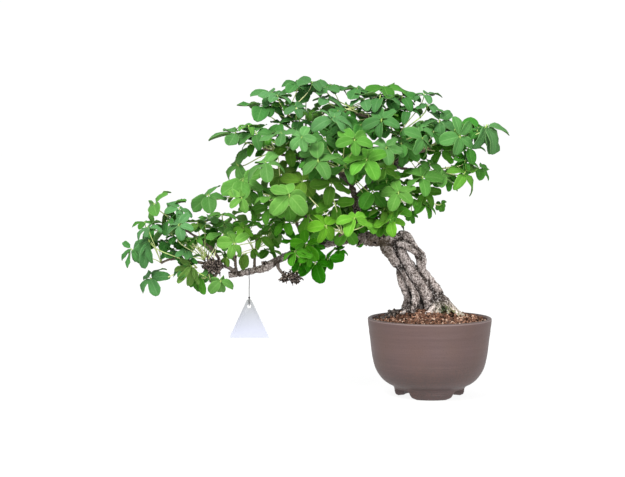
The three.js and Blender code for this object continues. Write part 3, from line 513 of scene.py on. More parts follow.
# The stub of every spray belongs to the wood too, so the sprays are given here. A stub goes "from" the wood
# to the "joint", where the spray's own stem starts, with a spur at each place of "stem". A leaf is (pose, x,
# y and z of its hub, length of its middle leaflet, that leaflet's turn). "inside" has the leaves of the
# shaded inside and off the old spurs, and "drawn" is how many more are drawn at random. Where there is a
# "cluster", stalks start from its places or from the last spur. At the back, "count" leaves fan out round
# "yaw" degrees.
SPRAYS = {
    "left_tip": {
        "from": (-277, -6, 171), "joint": (-286, -8, 172),
        "stem": [(-312, -6, 176), (-333, -2, 178), (-347, -4, 173)],
        "leaves": [
            ("hanging_left", -360, -32, 205, 38, 218), ("left", -360, -15, 155, 30, 215),
            ("flat", -340, 10, 200, 22, 215), ("flat", -332, 16, 190, 24, 340),
        ],
        "inside": [
            ("flat", -350, 10, 196, 20, 250), ("tilted", -331, -12, 187, 24, 300),
            ("flat", -368, 2, 226, 18, 190), ("left", -361, -36, 222, 25, 212),
            ("hanging_left", -383, -24, 193, 25, 225),
        ],
        "cluster": [(-300, -10, 167)],
        "drawn": 1,
    },
    "left_top": {
        "from": (-268, -4, 169), "joint": (-272, -2, 178),
        "stem": [(-283, 2, 192), (-302, 4, 206), (-320, 2, 218)],
        "leaves": [
            ("high_left", -360, 6, 218, 24, 175), ("edge_left", -355, -10, 250, 32, 235),
            ("edge_left", -335, 5, 245, 30, 220), ("open", -320, -46, 225, 25, 200),
            ("flat", -290, 0, 227, 24, 170),
        ],
        "inside": [
            ("tilted", -299, -10, 226, 20, 190), ("flat", -285, 5, 231, 20, 30),
            ("open", -313, -34, 190, 15, 270), ("flat", -326, -14, 209, 16, 170),
            ("tilted", -313, 4, 203, 16, 130), ("flat", -300, -20, 206, 15, 150),
            ("flat", -318, 14, 219, 17, 110), ("tilted", -285, 8, 208, 16, 60),
            ("flat", -274, -12, 203, 15, 40), ("high_left", -336, -20, 229, 22, 160),
        ],
        "cluster": [(-286, -14, 176), (-290, -10, 176), (-279, -16, 177)],
        "drawn": 2,
    },
    "left_under": {
        "from": (-268, -4, 169), "joint": (-272, -10, 163), "stem": [(-277, -15, 157), (-282, -18, 151)],
        "leaves": [
            ("half_open", -305, -35, 172, 30, 222), ("pendent", -296, -22, 158, 26, 262),
            ("hanging", -268, -35, 153, 25, 285),
        ],
        "inside": [("tilted", -315, -25, 169, 22, 190), ("hanging", -284, -24, 160, 15, 240)],
        "cluster": [(-286, -14, 164)],
        "drawn": 0,
    },
    "left_inner": {
        "from": (-249, 0, 159), "joint": (-251, 0, 168), "stem": [(-252, 0, 180), (-257, -3, 191)],
        "leaves": [
            ("open", -250, -50, 202, 24, 95), ("open", -265, -22, 212, 24, 195),
            ("flat", -250, 15, 212, 23, 120), ("flat", -270, 30, 235, 23, 190),
        ],
        "inside": [
            ("open", -240, -20, 220, 19, 300), ("open", -217, -15, 209, 19, 250),
            ("pendent", -205, 5, 205, 19, 275), ("pendent", -237, -12, 186, 21, 262),
            ("pendent", -262, -12, 181, 15, 258), ("pendent", -228, -8, 192, 15, 285),
            ("flat", -228, 10, 226, 20, 60),
        ],
        "drawn": 0,
    },
    "shoulder_low": {
        "from": (-158, -23, 231), "joint": (-165, -29, 241),
        "stem": [(-180, -33, 249), (-202, -36, 255), (-226, -32, 260)],
        "leaves": [
            ("high_left", -284, -30, 262, 31, 205), ("open", -240, -70, 260, 22, 285),
            ("open", -180, -100, 265, 32, 292), ("flat", -205, -75, 262, 22, 180),
            ("high_left", -240, -48, 282, 38, 195),
        ],
        "inside": [
            ("open", -206, -40, 248, 26, 260), ("tilted", -226, -30, 243, 24, 220),
            ("open", -182, -45, 250, 26, 290), ("flat", -200, -20, 270, 26, 150),
            ("open", -232, -48, 268, 22, 250),
        ],
        "drawn": 4,
    },
    "shoulder_mid": {
        "from": (-166, -17, 307), "joint": (-177, -20, 310), "stem": [(-196, -22, 314), (-214, -22, 320)],
        "leaves": [
            ("left", -210, -74, 305, 33, 200), ("left", -250, 3, 302, 33, 205),
            ("flat", -250, -10, 340, 34, 190), ("high_left", -224, -26, 342, 29, 210),
            ("high_left", -190, -50, 340, 30, 215),
        ],
        "inside": [
            ("open", -168, -10, 306, 26, 240), ("open", -193, -20, 286, 26, 230),
            ("tilted", -206, -4, 322, 24, 220), ("flat", -226, -8, 330, 22, 160),
            ("open", -182, -30, 322, 24, 270),
        ],
        "drawn": 4,
    },
    "top_left": {
        "from": (-143, -9, 299), "joint": (-150, -6, 310),
        "stem": [(-161, -2, 330), (-173, 0, 350), (-184, 2, 362)],
        "leaves": [
            ("flat", -215, 5, 377, 38, 205), ("flat", -204, 10, 392, 29, 180),
            ("flat", -160, 26, 397, 36, 180), ("tilted", -172, -35, 372, 22, 350),
            ("open", -165, -88, 335, 22, 215),
        ],
        "inside": [
            ("flat", -168, -10, 357, 26, 200), ("tilted", -193, -15, 352, 22, 220),
            ("open", -150, -20, 345, 26, 230), ("flat", -186, -4, 378, 24, 330),
            ("flat", -152, -6, 406, 30, 10), ("flat", -196, -14, 388, 26, 160),
            ("flat", -170, 6, 405, 26, 170),
        ],
        "drawn": 4,
    },
    "crown": {
        "from": (-87, 2, 332), "joint": (-83, 2, 345), "stem": [(-78, 1, 357), (-92, 0, 364), (-112, 0, 366)],
        "leaves": [
            ("flat", -135, -8, 398, 29, 160), ("flat", -133, -22, 384, 24, 60),
            ("tilted", -125, -60, 360, 34, 230), ("flat", -65, -15, 388, 35, 180),
            ("open", -65, -50, 357, 29, 185), ("flat", -44, 4, 371, 29, 0), ("flat", -42, 22, 386, 25, 15),
        ],
        "inside": [
            ("flat", -110, 5, 374, 26, 30), ("tilted", -90, -20, 351, 28, 250),
            ("flat", -70, 10, 368, 26, 340), ("tilted", -118, -25, 356, 24, 280),
            ("tilted", -58, -28, 344, 26, 260), ("flat", -94, -6, 397, 30, 200),
            ("flat", -86, -18, 384, 28, 330), ("edge_left", -128, 4, 402, 24, 40),
            ("flat", -60, 6, 400, 34, 350), ("flat", -36, 2, 389, 28, 350),
        ],
        "drawn": 4,
    },
    "centre": {
        "from": (-101, 6, 284), "joint": (-104, -4, 287), "stem": [(-110, -22, 289), (-115, -42, 291)],
        "leaves": [
            ("tilted", -145, -95, 307, 33, 95), ("tilted", -85, -90, 308, 33, 155),
            ("open", -100, -100, 332, 28, 125),
        ],
        "inside": [
            ("tilted", -144, -60, 319, 28, 260), ("open", -110, -70, 299, 28, 280),
            ("open", -76, -40, 267, 28, 250), ("open", -66, -30, 241, 24, 280),
            ("tilted", -110, -30, 344, 28, 200), ("open", -94, -45, 300, 26, 260),
            ("open", -138, -30, 300, 28, 240), ("tilted", -62, -50, 296, 26, 300),
            ("open", -136, -34, 334, 26, 250), ("open", -122, -20, 322, 26, 200),
            ("open", -84, -12, 318, 26, 240),
        ],
        "drawn": 4,
    },
    "crown_right": {
        "from": (-39, 10, 304), "joint": (-38, 6, 313), "stem": [(-40, 0, 325), (-42, -6, 335)],
        "leaves": [
            ("open", -60, -64, 322, 26, 210), ("open", -40, -47, 327, 22, 345),
            ("flat", -18, -45, 347, 26, 180), ("flat", -5, -14, 376, 26, 20),
        ],
        "inside": [
            ("flat", -8, 4, 391, 24, 340), ("flat", -30, -10, 371, 28, 200), ("open", -56, -22, 282, 26, 250),
            ("open", -32, -20, 319, 26, 260), ("tilted", -20, -10, 346, 24, 300),
            ("flat", -52, 2, 352, 22, 90),
        ],
        "drawn": 4,
    },
    "right_top": {
        "from": (-41, 10, 303), "joint": (-30, 9, 309), "stem": [(-8, 4, 318), (18, 0, 326), (44, -2, 332)],
        "leaves": [
            ("tilted", 10, -19, 357, 29, 330), ("hanging_right", 71, -18, 351, 43, 284),
            ("right", 64, 12, 348, 28, 205), ("open", 34, -45, 336, 29, 255),
            ("right", -16, -88, 334, 31, 300),
        ],
        "inside": [
            ("open", 13, -10, 319, 26, 250), ("tilted", 30, -14, 345, 24, 320),
            ("open", 48, -12, 322, 24, 280), ("flat", 0, 8, 348, 24, 60), ("tilted", 60, -4, 344, 22, 300),
        ],
        "drawn": 4,
    },
    "right_mid": {
        "from": (-48, 12, 297), "joint": (-38, 6, 295), "stem": [(-18, 0, 292), (4, -6, 290), (26, -8, 292)],
        "leaves": [
            ("right", 42, -32, 291, 33, 318), ("right", 64, 10, 296, 26, 330),
            ("tilted", -14, -57, 286, 31, 0),
        ],
        "inside": [
            ("tilted", 12, -38, 287, 30, 325), ("open", 20, -18, 284, 20, 280),
            ("tilted", -2, -20, 302, 24, 240), ("open", 44, -6, 306, 20, 300),
        ],
        "drawn": 4,
    },
    "right_low": {
        "from": (-45, -9, 237), "joint": (-36, -12, 244), "stem": [(-25, -14, 249), (-12, -16, 253)],
        "leaves": [("tilted", -45, -75, 267, 28, 250), ("open", -45, -20, 252, 22, 200)],
        "inside": [
            ("open", -32, -20, 273, 24, 270), ("open", -58, -25, 280, 24, 250),
            ("hanging", 13, -14, 250, 12, 280), ("hanging", -26, -20, 237, 13, 290),
            ("open", -8, -30, 266, 22, 300),
        ],
        "drawn": 4,
    },
    "low_front": {
        "from": (-121, -3, 203), "joint": (-121, -13, 206), "stem": [(-118, -30, 209), (-114, -46, 213)],
        "leaves": [("open", -100, -95, 236, 27, 261), ("open", -135, -85, 226, 27, 190)],
        "inside": [
            ("open", -156, -25, 236, 30, 250), ("open", -123, -45, 252, 30, 210),
            ("open", -128, -50, 277, 30, 260), ("open", -165, -40, 280, 28, 250),
            ("open", -141, -20, 222, 26, 300), ("open", -108, -35, 218, 24, 230),
        ],
        "drawn": 4,
    },
    "low_left": {
        "from": (-172, -8, 177), "joint": (-168, -16, 175), "stem": [(-162, -28, 174), (-158, -38, 176)],
        "leaves": [("open", -160, -60, 201, 27, 240), ("open", -148, -48, 178, 27, 280)],
        "inside": [
            ("open", -174, -40, 204, 22, 260), ("open", -187, -30, 228, 20, 240),
            ("open", -132, -35, 181, 24, 300), ("open", -116, -20, 191, 13, 280),
            ("open", -150, -28, 192, 22, 250), ("tilted", -150, -25, 216, 24, 270),
        ],
        "cluster": [(-176, -14, 160)],
        "drawn": 4,
    },
    "low_right": {
        "from": (-57, -3, 222), "joint": (-62, -12, 226), "stem": [(-66, -24, 229)],
        "leaves": [("open", -54, -62, 232, 24, 200)],
        "inside": [
            ("tilted", -66, -45, 223, 20, 200), ("flat", -52, -35, 248, 22, 190),
            ("open", -84, -30, 232, 20, 250),
        ],
        "drawn": 4,
    },
    "back_tip": {
        "from": (-268, -4, 169), "joint": (-273, 5, 170), "stem": [(-288, 24, 178), (-302, 44, 188)],
        "yaw": 100, "count": 3, "drawn": 2,
    },
    "back_left": {
        "from": (-225, 0, 162), "joint": (-227, 9, 166), "stem": [(-227, 28, 182), (-224, 50, 203)],
        "yaw": 68, "count": 3, "drawn": 3,
    },
    "back_shoulder": {
        "from": (-160, -4, 191), "joint": (-163, 6, 198), "stem": [(-172, 24, 222), (-184, 46, 256)],
        "yaw": 105, "count": 4, "drawn": 8,
    },
    "back_low": {
        "from": (-112, -3, 204), "joint": (-112, 8, 208), "stem": [(-110, 24, 216), (-104, 40, 226)],
        "yaw": 82, "count": 3, "drawn": 8,
    },
    "back_crown": {
        "from": (-95, 4, 312), "joint": (-98, 13, 318), "stem": [(-106, 30, 330), (-118, 48, 345)],
        "yaw": 100, "count": 4, "drawn": 8,
    },
    "back_centre": {
        "from": (-100, 6, 272), "joint": (-97, 16, 276), "stem": [(-88, 34, 282), (-80, 54, 290)],
        "yaw": 85, "count": 4, "drawn": 8,
    },
    "back_right": {
        "from": (-55, 14, 292), "joint": (-50, 21, 298), "stem": [(-34, 34, 310), (-6, 44, 325)],
        "yaw": 50, "count": 4, "drawn": 8,
    },
}


def linked(name, data):
    """An object of this mesh or curve, put into the scene."""
    piece = bpy.data.objects.new(name, data)
    bpy.context.collection.objects.link(piece)
    return piece


def round_curve(name, line, radius, sides):
    """A curve with a round section through (x, y, z, share of the radius), with its ends closed."""
    curve = bpy.data.curves.new(name, "CURVE")
    curve.dimensions = "3D"
    curve.bevel_depth = radius * MM
    curve.bevel_resolution = sides
    curve.use_fill_caps = True
    spline = curve.splines.new("POLY")
    spline.points.add(len(line) - 1)
    for point, (x, y, z, share) in zip(spline.points, line):
        point.co = (*place(x, y, z), 1)
        point.radius = share
    return linked(name, curve)


def tube(stations, name, sides=5, steps=4):
    """A stem through (x, y, z, radius), drawn as a curve with a round section and made a mesh."""
    only(round_curve(name, smooth_line(stations, steps), 1, sides))
    bpy.ops.object.convert(target="MESH")
    return bpy.context.object


def joined(pieces):
    bpy.ops.object.select_all(action="DESELECT")
    for piece in pieces:
        piece.select_set(True)
    bpy.context.view_layer.objects.active = pieces[0]
    bpy.ops.object.join()
    return bpy.context.object


def smooth_shade(piece):
    only(piece)
    bpy.ops.object.shade_smooth()


def clamped(value):
    return min(1, max(0, value))


def bell(distance, width):
    """1 at no distance, falling off like a bell of this width."""
    return math.exp(-((distance / width) ** 2))


def store(mesh, name, values):
    """Keeps a number or a colour for each point of a mesh, for its material to read."""
    values = np.array(values, float)
    kind, field = ("FLOAT_COLOR", "color") if values.ndim == 2 else ("FLOAT", "value")
    mesh.attributes.new(name, kind, "POINT").data.foreach_set(field, values.ravel())


stubs = [[(*row["from"], STUB_FOOT), (*row["joint"], STEM_FOOT)] for row in SPRAYS.values()]
STEM_LINES = [*STEMS.values(), *BRANCHES, *FINE_ROOTS, *stubs]
wood = joined([tube(stations, "stem") for stations in STEM_LINES])
modify(wood, "REMESH", mode="VOXEL", voxel_size=BARK_VOXEL * MM, use_smooth_shade=True)
modify(wood, "SMOOTH", factor=0.5, iterations=4)


def stem_distances(points):
    """How much nearer each point is to its nearest stem than to the next, and that stem's radius and run."""
    gaps = []
    radii = []
    runs = []
    for number, stations in enumerate(STEM_LINES):
        line = np.array(smooth_line(stations, 6))
        steps = np.linalg.norm(np.diff(line[:, :3], axis=0), axis=1)
        run = np.concatenate([[0], np.cumsum(steps)]) + RUN_SHIFT * number
        gap = np.full(len(points), 1e9)
        radius = np.zeros(len(points))
        along = np.zeros(len(points))
        for (x, y, z, r), at in zip(line, run):
            reach = np.linalg.norm(points - (x, y, z), axis=1) - r
            closer = reach < gap
            gap[closer] = reach[closer]
            radius[closer] = r
            along[closer] = at
        gaps.append(gap)
        radii.append(radius)
        runs.append(along)
    gaps = np.array(gaps)
    order = np.argsort(gaps, axis=0)
    first = order[0]
    rows = np.arange(len(points))
    apart = gaps[order[1], rows] - gaps[first, rows]
    return apart, np.array(radii)[first, rows], np.array(runs)[first, rows]


def grow_bark(piece):
    """Cuts furrows where stems meet, raises flutes, knots and warts, and stores what the colours need,
    with painted shade for the furrows and for the hollow between the stems.
    """
    vertices = piece.data.vertices
    points = (np.array([vertex.co for vertex in vertices]) - np.array(POT_AXIS)) / MM
    layers = {"relief": [], "age": [], "hollow": [], "damp": [], "pale": []}
    moved = []
    for vertex, here, apart, radius, run in zip(vertices, points, *stem_distances(points)):
        here = Vector(here)
        stout = min(1.0, max(0.16, radius / 8))
        furrow = bell(apart, 1.5) * min(1.0, radius / 5)
        flank = bell(apart, 3.2) * min(1.0, radius / 4)
        flute = noise.noise(Vector((here.x * 0.30, here.y * 0.30, here.z * 0.12 + run * 0.06)))
        knot = noise.fractal(here * 0.15, 1.0, 2.0, 3)
        wart = 0.42 - noise.voronoi(here * 0.52)[0][0]
        crack = noise.fractal(here * 0.8, 0.8, 2.1, 2)
        gnarl = noise.fractal(here * 0.34, 1.0, 2.0, 3)
        low = clamped((ROOTS_BELOW - here.z) / 14)
        # The limb's share: its bark is more gnarled there and painted darker and browner, less so towards its
        # tip.
        limb_share = clamped((LIMB_FROM - here.x) / 14) * min(1, max(0.45, (here.x - LIMB_FADES_FROM) / 40))
        lift = (
            1.5 * max(low, limb_share) * stout * gnarl + stout * (1.1 * flute + 1.4 * knot)
            + min(stout, 0.7) * (0.9 * wart + 0.8 * crack) - 1.9 * furrow
        )
        moved.append(vertex.co + vertex.normal * lift * MM)
        rough = 0.45 * max(low, limb_share) * gnarl + 0.20 * (knot + wart + crack) + 0.30 * flute
        # Painted shade: the hollow between the front stems and the bole, in front of the back stem, is marked
        # to be painted near black.
        inside = clamped((here.y - HOLLOW_DEPTH[0]) / 6) * clamped((HOLLOW_DEPTH[1] - here.y) / 7)
        inside *= clamped((HOLLOW_BELOW - here.z) / 8) * (HOLLOW_SIDES[0] < here.x < HOLLOW_SIDES[1])
        # The colour relief is bark pattern and painted shade: it is pushed down in the furrows where stems
        # meet and on their flanks.
        layers["relief"].append(0.60 + rough - 0.70 * furrow - 0.28 * flank)
        layers["age"].append(max(stout, low))
        layers["hollow"].append(inside)
        layers["damp"].append(limb_share)
        layers["pale"].append(low * clamped((here.x - PALE_FROM) / 12))
    for vertex, co in zip(vertices, moved):
        vertex.co = co
    for name, values in layers.items():
        store(piece.data, name, values)


grow_bark(wood)
smooth_shade(wood)

bark = Finish("bark", roughness=0.88, specular_ior_level=0.25)
relief = bark.painted("relief")
fleck = bark.grain(620, 4)
pit = bark.grain(470, 3)
pore = bark.pores(400)
patch = bark.grain(55, 3)
# Bark colour follows the stored relief: dark in the furrows as painted shade, pale on the ridges; the hollow
# is painted near black as painted shade.
skin = bark.layered(
    (0.012, 0.009, 0.008),
    (relief.ramp(0.20, 0.44), (0.250, 0.208, 0.192)),
    (relief.ramp(0.44, 0.78), (0.66, 0.590, 0.568)),
    (patch.ramp(0.42, 0.62) * 0.25, (0.215, 0.165, 0.140)),
    (bark.painted("pale") * 0.40, (0.66, 0.60, 0.46)),
    ((1 - pit).ramp(0.53, 0.61) * 0.42, (0.72, 0.66, 0.64)),
    (pit.ramp(0.52, 0.60) * 0.68, (0.032, 0.024, 0.020)),
    (fleck.ramp(0.55, 0.62) * 0.6, (0.045, 0.034, 0.029)),
    ((1 - bark.painted("age")).ramp(0.45, 0.75) * 0.50, (0.062, 0.047, 0.039)),
    (bark.painted("damp") * (0.50 + 0.45 * patch), (0.062, 0.045, 0.026)),
    ((1 - pore.ramp(0.14, 0.30)) * 0.52, (0.024, 0.018, 0.015)),
    (bark.painted("hollow") * 0.85, (0.012, 0.010, 0.009)),
)
bark.drive("Base Color", skin)
bark.bump(bark.grain(1300, 2) * 0.3 - fleck * 0.6 - pit + pore.ramp(0.1, 0.4) * 0.6, 1.4 * MM, 1.0)
finish_piece(wood, "wood", bark.material)
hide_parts("trunk")

# Soil: crushed baked clay and a little bark, heaped round the foot of the trunk. A closed mound carries a
# layer of loose granules, each a small broken lump.
GAP = 0.3
SOIL_GAP = 0.4
SOIL_EDGE = 97.5
SOIL_CROWN = 112
MESH_THICKNESS = 1
MOUND_SIDES = 72
MOUND_CENTRE = 0.3
MOUND_UNDER = [
    (MOUND_CENTRE, FLOOR_TOP + MESH_THICKNESS + 2 * GAP), (34, 20.5), (49, 23), (61, 34.5), (67, 48),
    (71.2, 74), (73.6, 92),
]
MOUND_TOP = [
    (POT_RADIUS - POT_WALL - SOIL_GAP, SOIL_EDGE), (58, 101.5), (40, 106.5), (20, SOIL_CROWN - 1.5),
    (MOUND_CENTRE, SOIL_CROWN),
]
MOUND_LINE = [tuple(p) for p in smooth_line(MOUND_TOP, 6)]
GRANULES = 3000
GRANULE_SIZES = (1.0, 1.2, 1.4, 1.7, 2.0, 2.5)
GRANULE_SHAPES = 5
GRANULE_FLATNESS = 0.8
GRANULE_REACH = 73.4
GRANULE_LIMIT = 74.2


def ground(radius):
    """Height of the mound at this distance from the pot's axis."""
    radii, heights = zip(*MOUND_LINE[::-1])
    return float(np.interp(radius, radii, heights))


def mesh_piece(name, parts, **layers):
    """One mesh out of parts of (points, faces). A layer has a number or a colour for each point."""
    points = []
    faces = []
    start = 0
    for co, own_faces in parts:
        points.append(co)
        faces.extend(tuple(k + start for k in face) for face in own_faces)
        start += len(co)
    mesh = bpy.data.meshes.new(name)
    mesh.from_pydata(np.concatenate(points), [], faces)
    for layer, values in layers.items():
        store(mesh, layer, values)
    return linked(name, mesh)


def carried(co, matrix):
    return co @ np.array(matrix.to_3x3()).T + np.array(matrix.translation)


def scattered(name, shapes, spots, tones=()):
    """One mesh out of many copies. A spot is (shape's number, 4x4 matrix); each copy may carry a tone."""
    parts = [(carried(shapes[which][0], matrix), shapes[which][1]) for which, matrix in spots]
    piece = mesh_piece(name, parts)
    if tones:
        store(piece.data, "tone", np.repeat(tones, [len(co) for co, _ in parts]))
    return piece


def shape_of(piece):
    """The vertices and faces of a modelled piece, which then is removed."""
    co = np.array([v.co for v in piece.data.vertices])
    faces = [tuple(f.vertices) for f in piece.data.polygons]
    bpy.data.objects.remove(piece)
    return co, faces


def broken_lump(seed):
    bpy.ops.mesh.primitive_ico_sphere_add(subdivisions=1, radius=1, location=(0, 0, 0))
    lump = bpy.context.object
    draw = random.Random(seed)
    for vertex in lump.data.vertices:
        vertex.co *= draw.uniform(0.68, 1.15)
        vertex.co.z *= GRANULE_FLATNESS
    return shape_of(lump)


def any_way(draw):
    """A random vector with no direction preferred."""
    return Vector((draw.gauss(0, 1), draw.gauss(0, 1), draw.gauss(0, 1)))


def tumbled(where, size, draw):
    """The number of a lump and the matrix that puts it there, turned and squeezed at random."""
    which = draw.randrange(GRANULE_SHAPES)
    turn = Matrix.Rotation(draw.uniform(0, math.tau), 4, any_way(draw))
    size *= MM
    stretch = Matrix.Diagonal((size, size * draw.uniform(0.7, 1.0), size * draw.uniform(0.55, 0.9), 1))
    return which, Matrix.Translation(where) @ turn @ stretch


mound = throw(MOUND_UNDER + MOUND_LINE, MOUND_SIDES)
modify(mound, "WELD", merge_threshold=2 * MOUND_CENTRE * MM)
close_up(mound)
draw = random.Random(41)
lumps = [broken_lump(seed) for seed in range(GRANULE_SHAPES)]
spots = []
tones = []
while len(spots) < GRANULES:
    radius = GRANULE_REACH * math.sqrt(draw.random())
    turn = draw.uniform(0, math.tau)
    size = draw.choice(GRANULE_SIZES)
    if radius + size > GRANULE_LIMIT:
        continue
    z = ground(radius) + size * draw.uniform(-0.35, 0.75)
    spots.append(tumbled(place(radius * math.cos(turn), radius * math.sin(turn), z), size, draw))
    tones.append(draw.random())
granules = scattered("granules", lumps, spots, tones)

earth = Finish("earth", roughness=0.95, specular_ior_level=0.05)
tone = earth.painted("tone")
crumb = earth.layered(
    (0.012, 0.007, 0.005),
    (tone.ramp(0.18, 0.45), (0.120, 0.058, 0.037)),
    (tone.ramp(0.50, 0.85), (0.255, 0.138, 0.094)),
    (tone.ramp(0.84, 0.97), (0.480, 0.350, 0.270)),
    (earth.grain(700, 3).ramp(0.45, 0.7) * 0.5, (0.060, 0.030, 0.018)),
)
earth.drive("Base Color", crumb)
earth.bump(earth.grain(1500, 2), 0.4 * MM, 0.6)
finish_piece(granules, "granules", earth.material)


def two_tone(name, scale, low, high, dark, light, **uniform):
    """A finish that goes from dark to light over a grain of this scale."""
    finish = Finish(name, **uniform)
    finish.drive("Base Color", finish.blend(finish.grain(scale, 3).ramp(low, high), dark, light))
    return finish


bedding = two_tone("bedding", 400, 0.4, 0.62, (0.030, 0.015, 0.010), (0.130, 0.055, 0.030), roughness=1.0)
finish_piece(mound, "mound", bedding.material)
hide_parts("soil")

# Bark chips and moss: dark chips lie to the left of the trunk, and moss has crept over the roots at the right
# and into the hollow between them. A patch of moss is (x and z of its middle, how far it spreads).
CHIPS = 80
CHIP_SIZE = (1.8, 3.4)
CHIP_LIMIT = 73
HEAP_X = -47
HEAP_HEIGHT = 7
HEAP_WIDTH = 8
MOSS = 560
MOSS_SIZE = (0.45, 1.0)
MOSS_PATCHES = [
    ((16, 114), 2.6), ((18, 109), 2.6), ((20, 117), 2), ((16, 112), 2), ((27, 111), 2.5), ((37, 105), 3),
    ((13, 103), 3),
]
spots = []
for _ in range(CHIPS):
    x, y = draw.gauss(-52, 7), draw.gauss(2, 10)
    size = draw.uniform(*CHIP_SIZE)
    heap = HEAP_HEIGHT * bell(x - HEAP_X, HEAP_WIDTH)
    z = ground(math.hypot(x, y)) + size * 0.3 + draw.random() * heap
    if math.hypot(x, y) + size < CHIP_LIMIT:
        spots.append(tumbled(place(x, y, z), size, draw))
chips = scattered("chips", lumps, spots)
char = two_tone("char", 300, 0.4, 0.6, (0.006, 0.005, 0.005), (0.120, 0.095, 0.080), roughness=0.8)
finish_piece(chips, "bark_chips", char.material)
spots = []
tones = []
for _ in range(MOSS):
    centre, spread = draw.choice(MOSS_PATCHES)
    spread *= draw.choice((0.6, 1, 1.5))
    x, z = draw.gauss(centre[0], spread), draw.gauss(centre[1], spread * 0.8)
    found, where, _, _ = wood.ray_cast(place(x, -60, z), Vector((0, 1, 0)))
    if not found:
        where = place(x, draw.uniform(-30, -14), 0)
        where.z = ground((where - POT_AXIS).length / MM) * MM
    spots.append(tumbled(where, draw.uniform(*MOSS_SIZE), draw))
    tones.append(clamped((centre[0] - 16) / 14 + draw.gauss(0, 0.2)))
moss_tufts = scattered("moss", lumps, spots, tones)
moss = Finish("moss", roughness=0.95)
moss.drive("Base Color", moss.blend(moss.painted("tone"), (0.012, 0.032, 0.006), (0.230, 0.225, 0.100)))
finish_piece(moss_tufts, "moss_tufts", moss.material)

# Spur clusters: where the vine was cut back year after year, short dead spurs stand close together on a
# knob of wood. They are grown as many short tapered pegs from one point. A cluster is (centre, how far its
# pegs reach, their number, the way they lean).
CLUSTERS = [
    ((-177, -14, 156), 10, 80, (0.3, -0.3, -0.3)),
    ((-172, -12, 166), 9, 56, (0, -0.3, 0.6)),
    ((-187, -13, 155), 7, 40, (-0.3, -0.3, -0.1)),
    ((-280, -16, 168), 12, 110, (0, -0.4, 0.3)),
    ((-281, -12, 156), 7, 36, (0, -0.3, -0.4)),
    ((-252, -3, 181), 3.5, 16, (0, -0.3, 0.5)),
    ((-213, -4, 172), 4.5, 14, (0, -0.2, 0.7)),
    ((-92, -7, 199), 5, 16, (0, -0.6, -0.6)),
    ((-118, -6, 197), 5, 16, (0, -0.5, -0.5)),
    ((-102, 2, 283), 6, 22, (0, -0.5, 0.4)),
    ((-95, -2, 240), 5, 18, (-0.4, -0.6, 0.2)),
    ((-62, -7, 206), 4.2, 16, (0, -0.9, -0.2)),
    ((-72, -7, 200), 4.0, 16, (0, -0.7, -0.6)),
    ((-82, -6, 207), 4.4, 18, (0, -0.9, 0.1)),
    ((-98, -5, 202), 4.2, 16, (0, -0.7, -0.5)),
    ((-110, -5, 206), 4.2, 16, (0, -0.8, 0.1)),
    ((-70, 0, 232), 5, 20, (-0.4, -0.5, 0.2)),
]
PEG_VOXEL = 0.7


def pegs(centre, reach, count, lean, draw):
    pieces = []
    for _ in range(count):
        way = any_way(draw).normalized() + Vector(lean)
        way.normalize()
        start = Vector(centre) + way * draw.uniform(0, 0.25) * reach
        bend = any_way(draw) * reach * 0.18
        length = reach * draw.uniform(0.6, 1.25)
        foot = draw.uniform(0.8, 1.5)
        middle = start + way * length * 0.5 + bend
        end = start + way * length
        pieces.append(tube([(*start, foot), (*middle, foot * 0.85), (*end, foot * 0.6)], "peg", 1, 2))
    return pieces


draw = random.Random(7)
spurs = joined([peg for spec in CLUSTERS for peg in pegs(*spec, draw)])
modify(spurs, "REMESH", mode="VOXEL", voxel_size=PEG_VOXEL * MM, use_smooth_shade=True)
old_wood = Finish("old_wood", roughness=0.9, specular_ior_level=0.2)
speck = old_wood.grain(420, 3)
# Mottled from near black to grey brown: partly the dead wood's own colour, partly painted shade among the
# close pegs.
dark_wood_and_shade = old_wood.blend(speck.ramp(0.47, 0.62), (0.006, 0.004, 0.003), (0.230, 0.185, 0.160))
old_wood.drive("Base Color", dark_wood_and_shade)
old_wood.bump(speck, 0.8 * MM, 0.8)
finish_piece(spurs, "spur_clusters", old_wood.material)

# Sprays: thin stems with a leaf on a long stalk at each spur. A leaf has five leaflets round one point, each
# folded a little along its rib and bowed. A leaflet is modelled in five forms, which are copied over. A pose
# is (the way the leaf faces, the angle its leaflets fan over, how far they droop).
FULL_FAN = 288
POSES = {
    "half_open": ((-0.15, -0.9, 0.25), 150, 22),
    "open": ((0, -0.85, 0.5), FULL_FAN, 10),
    "tilted": ((0, -0.62, 0.75), FULL_FAN, 10),
    "flat": ((0, -0.28, 0.95), FULL_FAN, 12),
    "left": ((-0.5, -0.65, 0.55), FULL_FAN, 12),
    "high_left": ((-0.4, -0.45, 0.8), FULL_FAN, 12),
    "edge_left": ((-0.72, -0.3, 0.62), FULL_FAN, 8),
    "right": ((0.5, -0.65, 0.55), FULL_FAN, 12),
    "hanging": ((-0.15, -0.9, 0.25), 230, 32),
    "hanging_left": ((-0.5, -0.75, 0.45), 138, 12),
    "hanging_right": ((0.45, -0.8, 0.35), 92, 12),
    "pendent": ((-0.15, -0.9, 0.25), 70, 30),
}
SLIM = {"hanging_left": 0.60, "hanging_right": 0.78, "pendent": 0.7, "edge_left": 0.75, "half_open": 0.54}
LEAFLET_SHARES = (0.86, 0.95, 1, 0.95, 0.86)
BACK_ELEVATIONS = (50, 12, 35, 5)
BACK_FAN = 150
BACK_REACH = 36
BACK_LENGTH = 27
INNER_REACH = (16, 42)
INNER_LENGTH = (15, 25)
INNER_DROOP = (8, 26)
LEAFLET_STALK = 0.09
STALK_ROWS = 0.12
WIDEST = 0.50
NARROWEST = 0.017
LEAF_THICKNESS = 0.014
ROWS_UP = 8
ROWS_ACROSS = 4


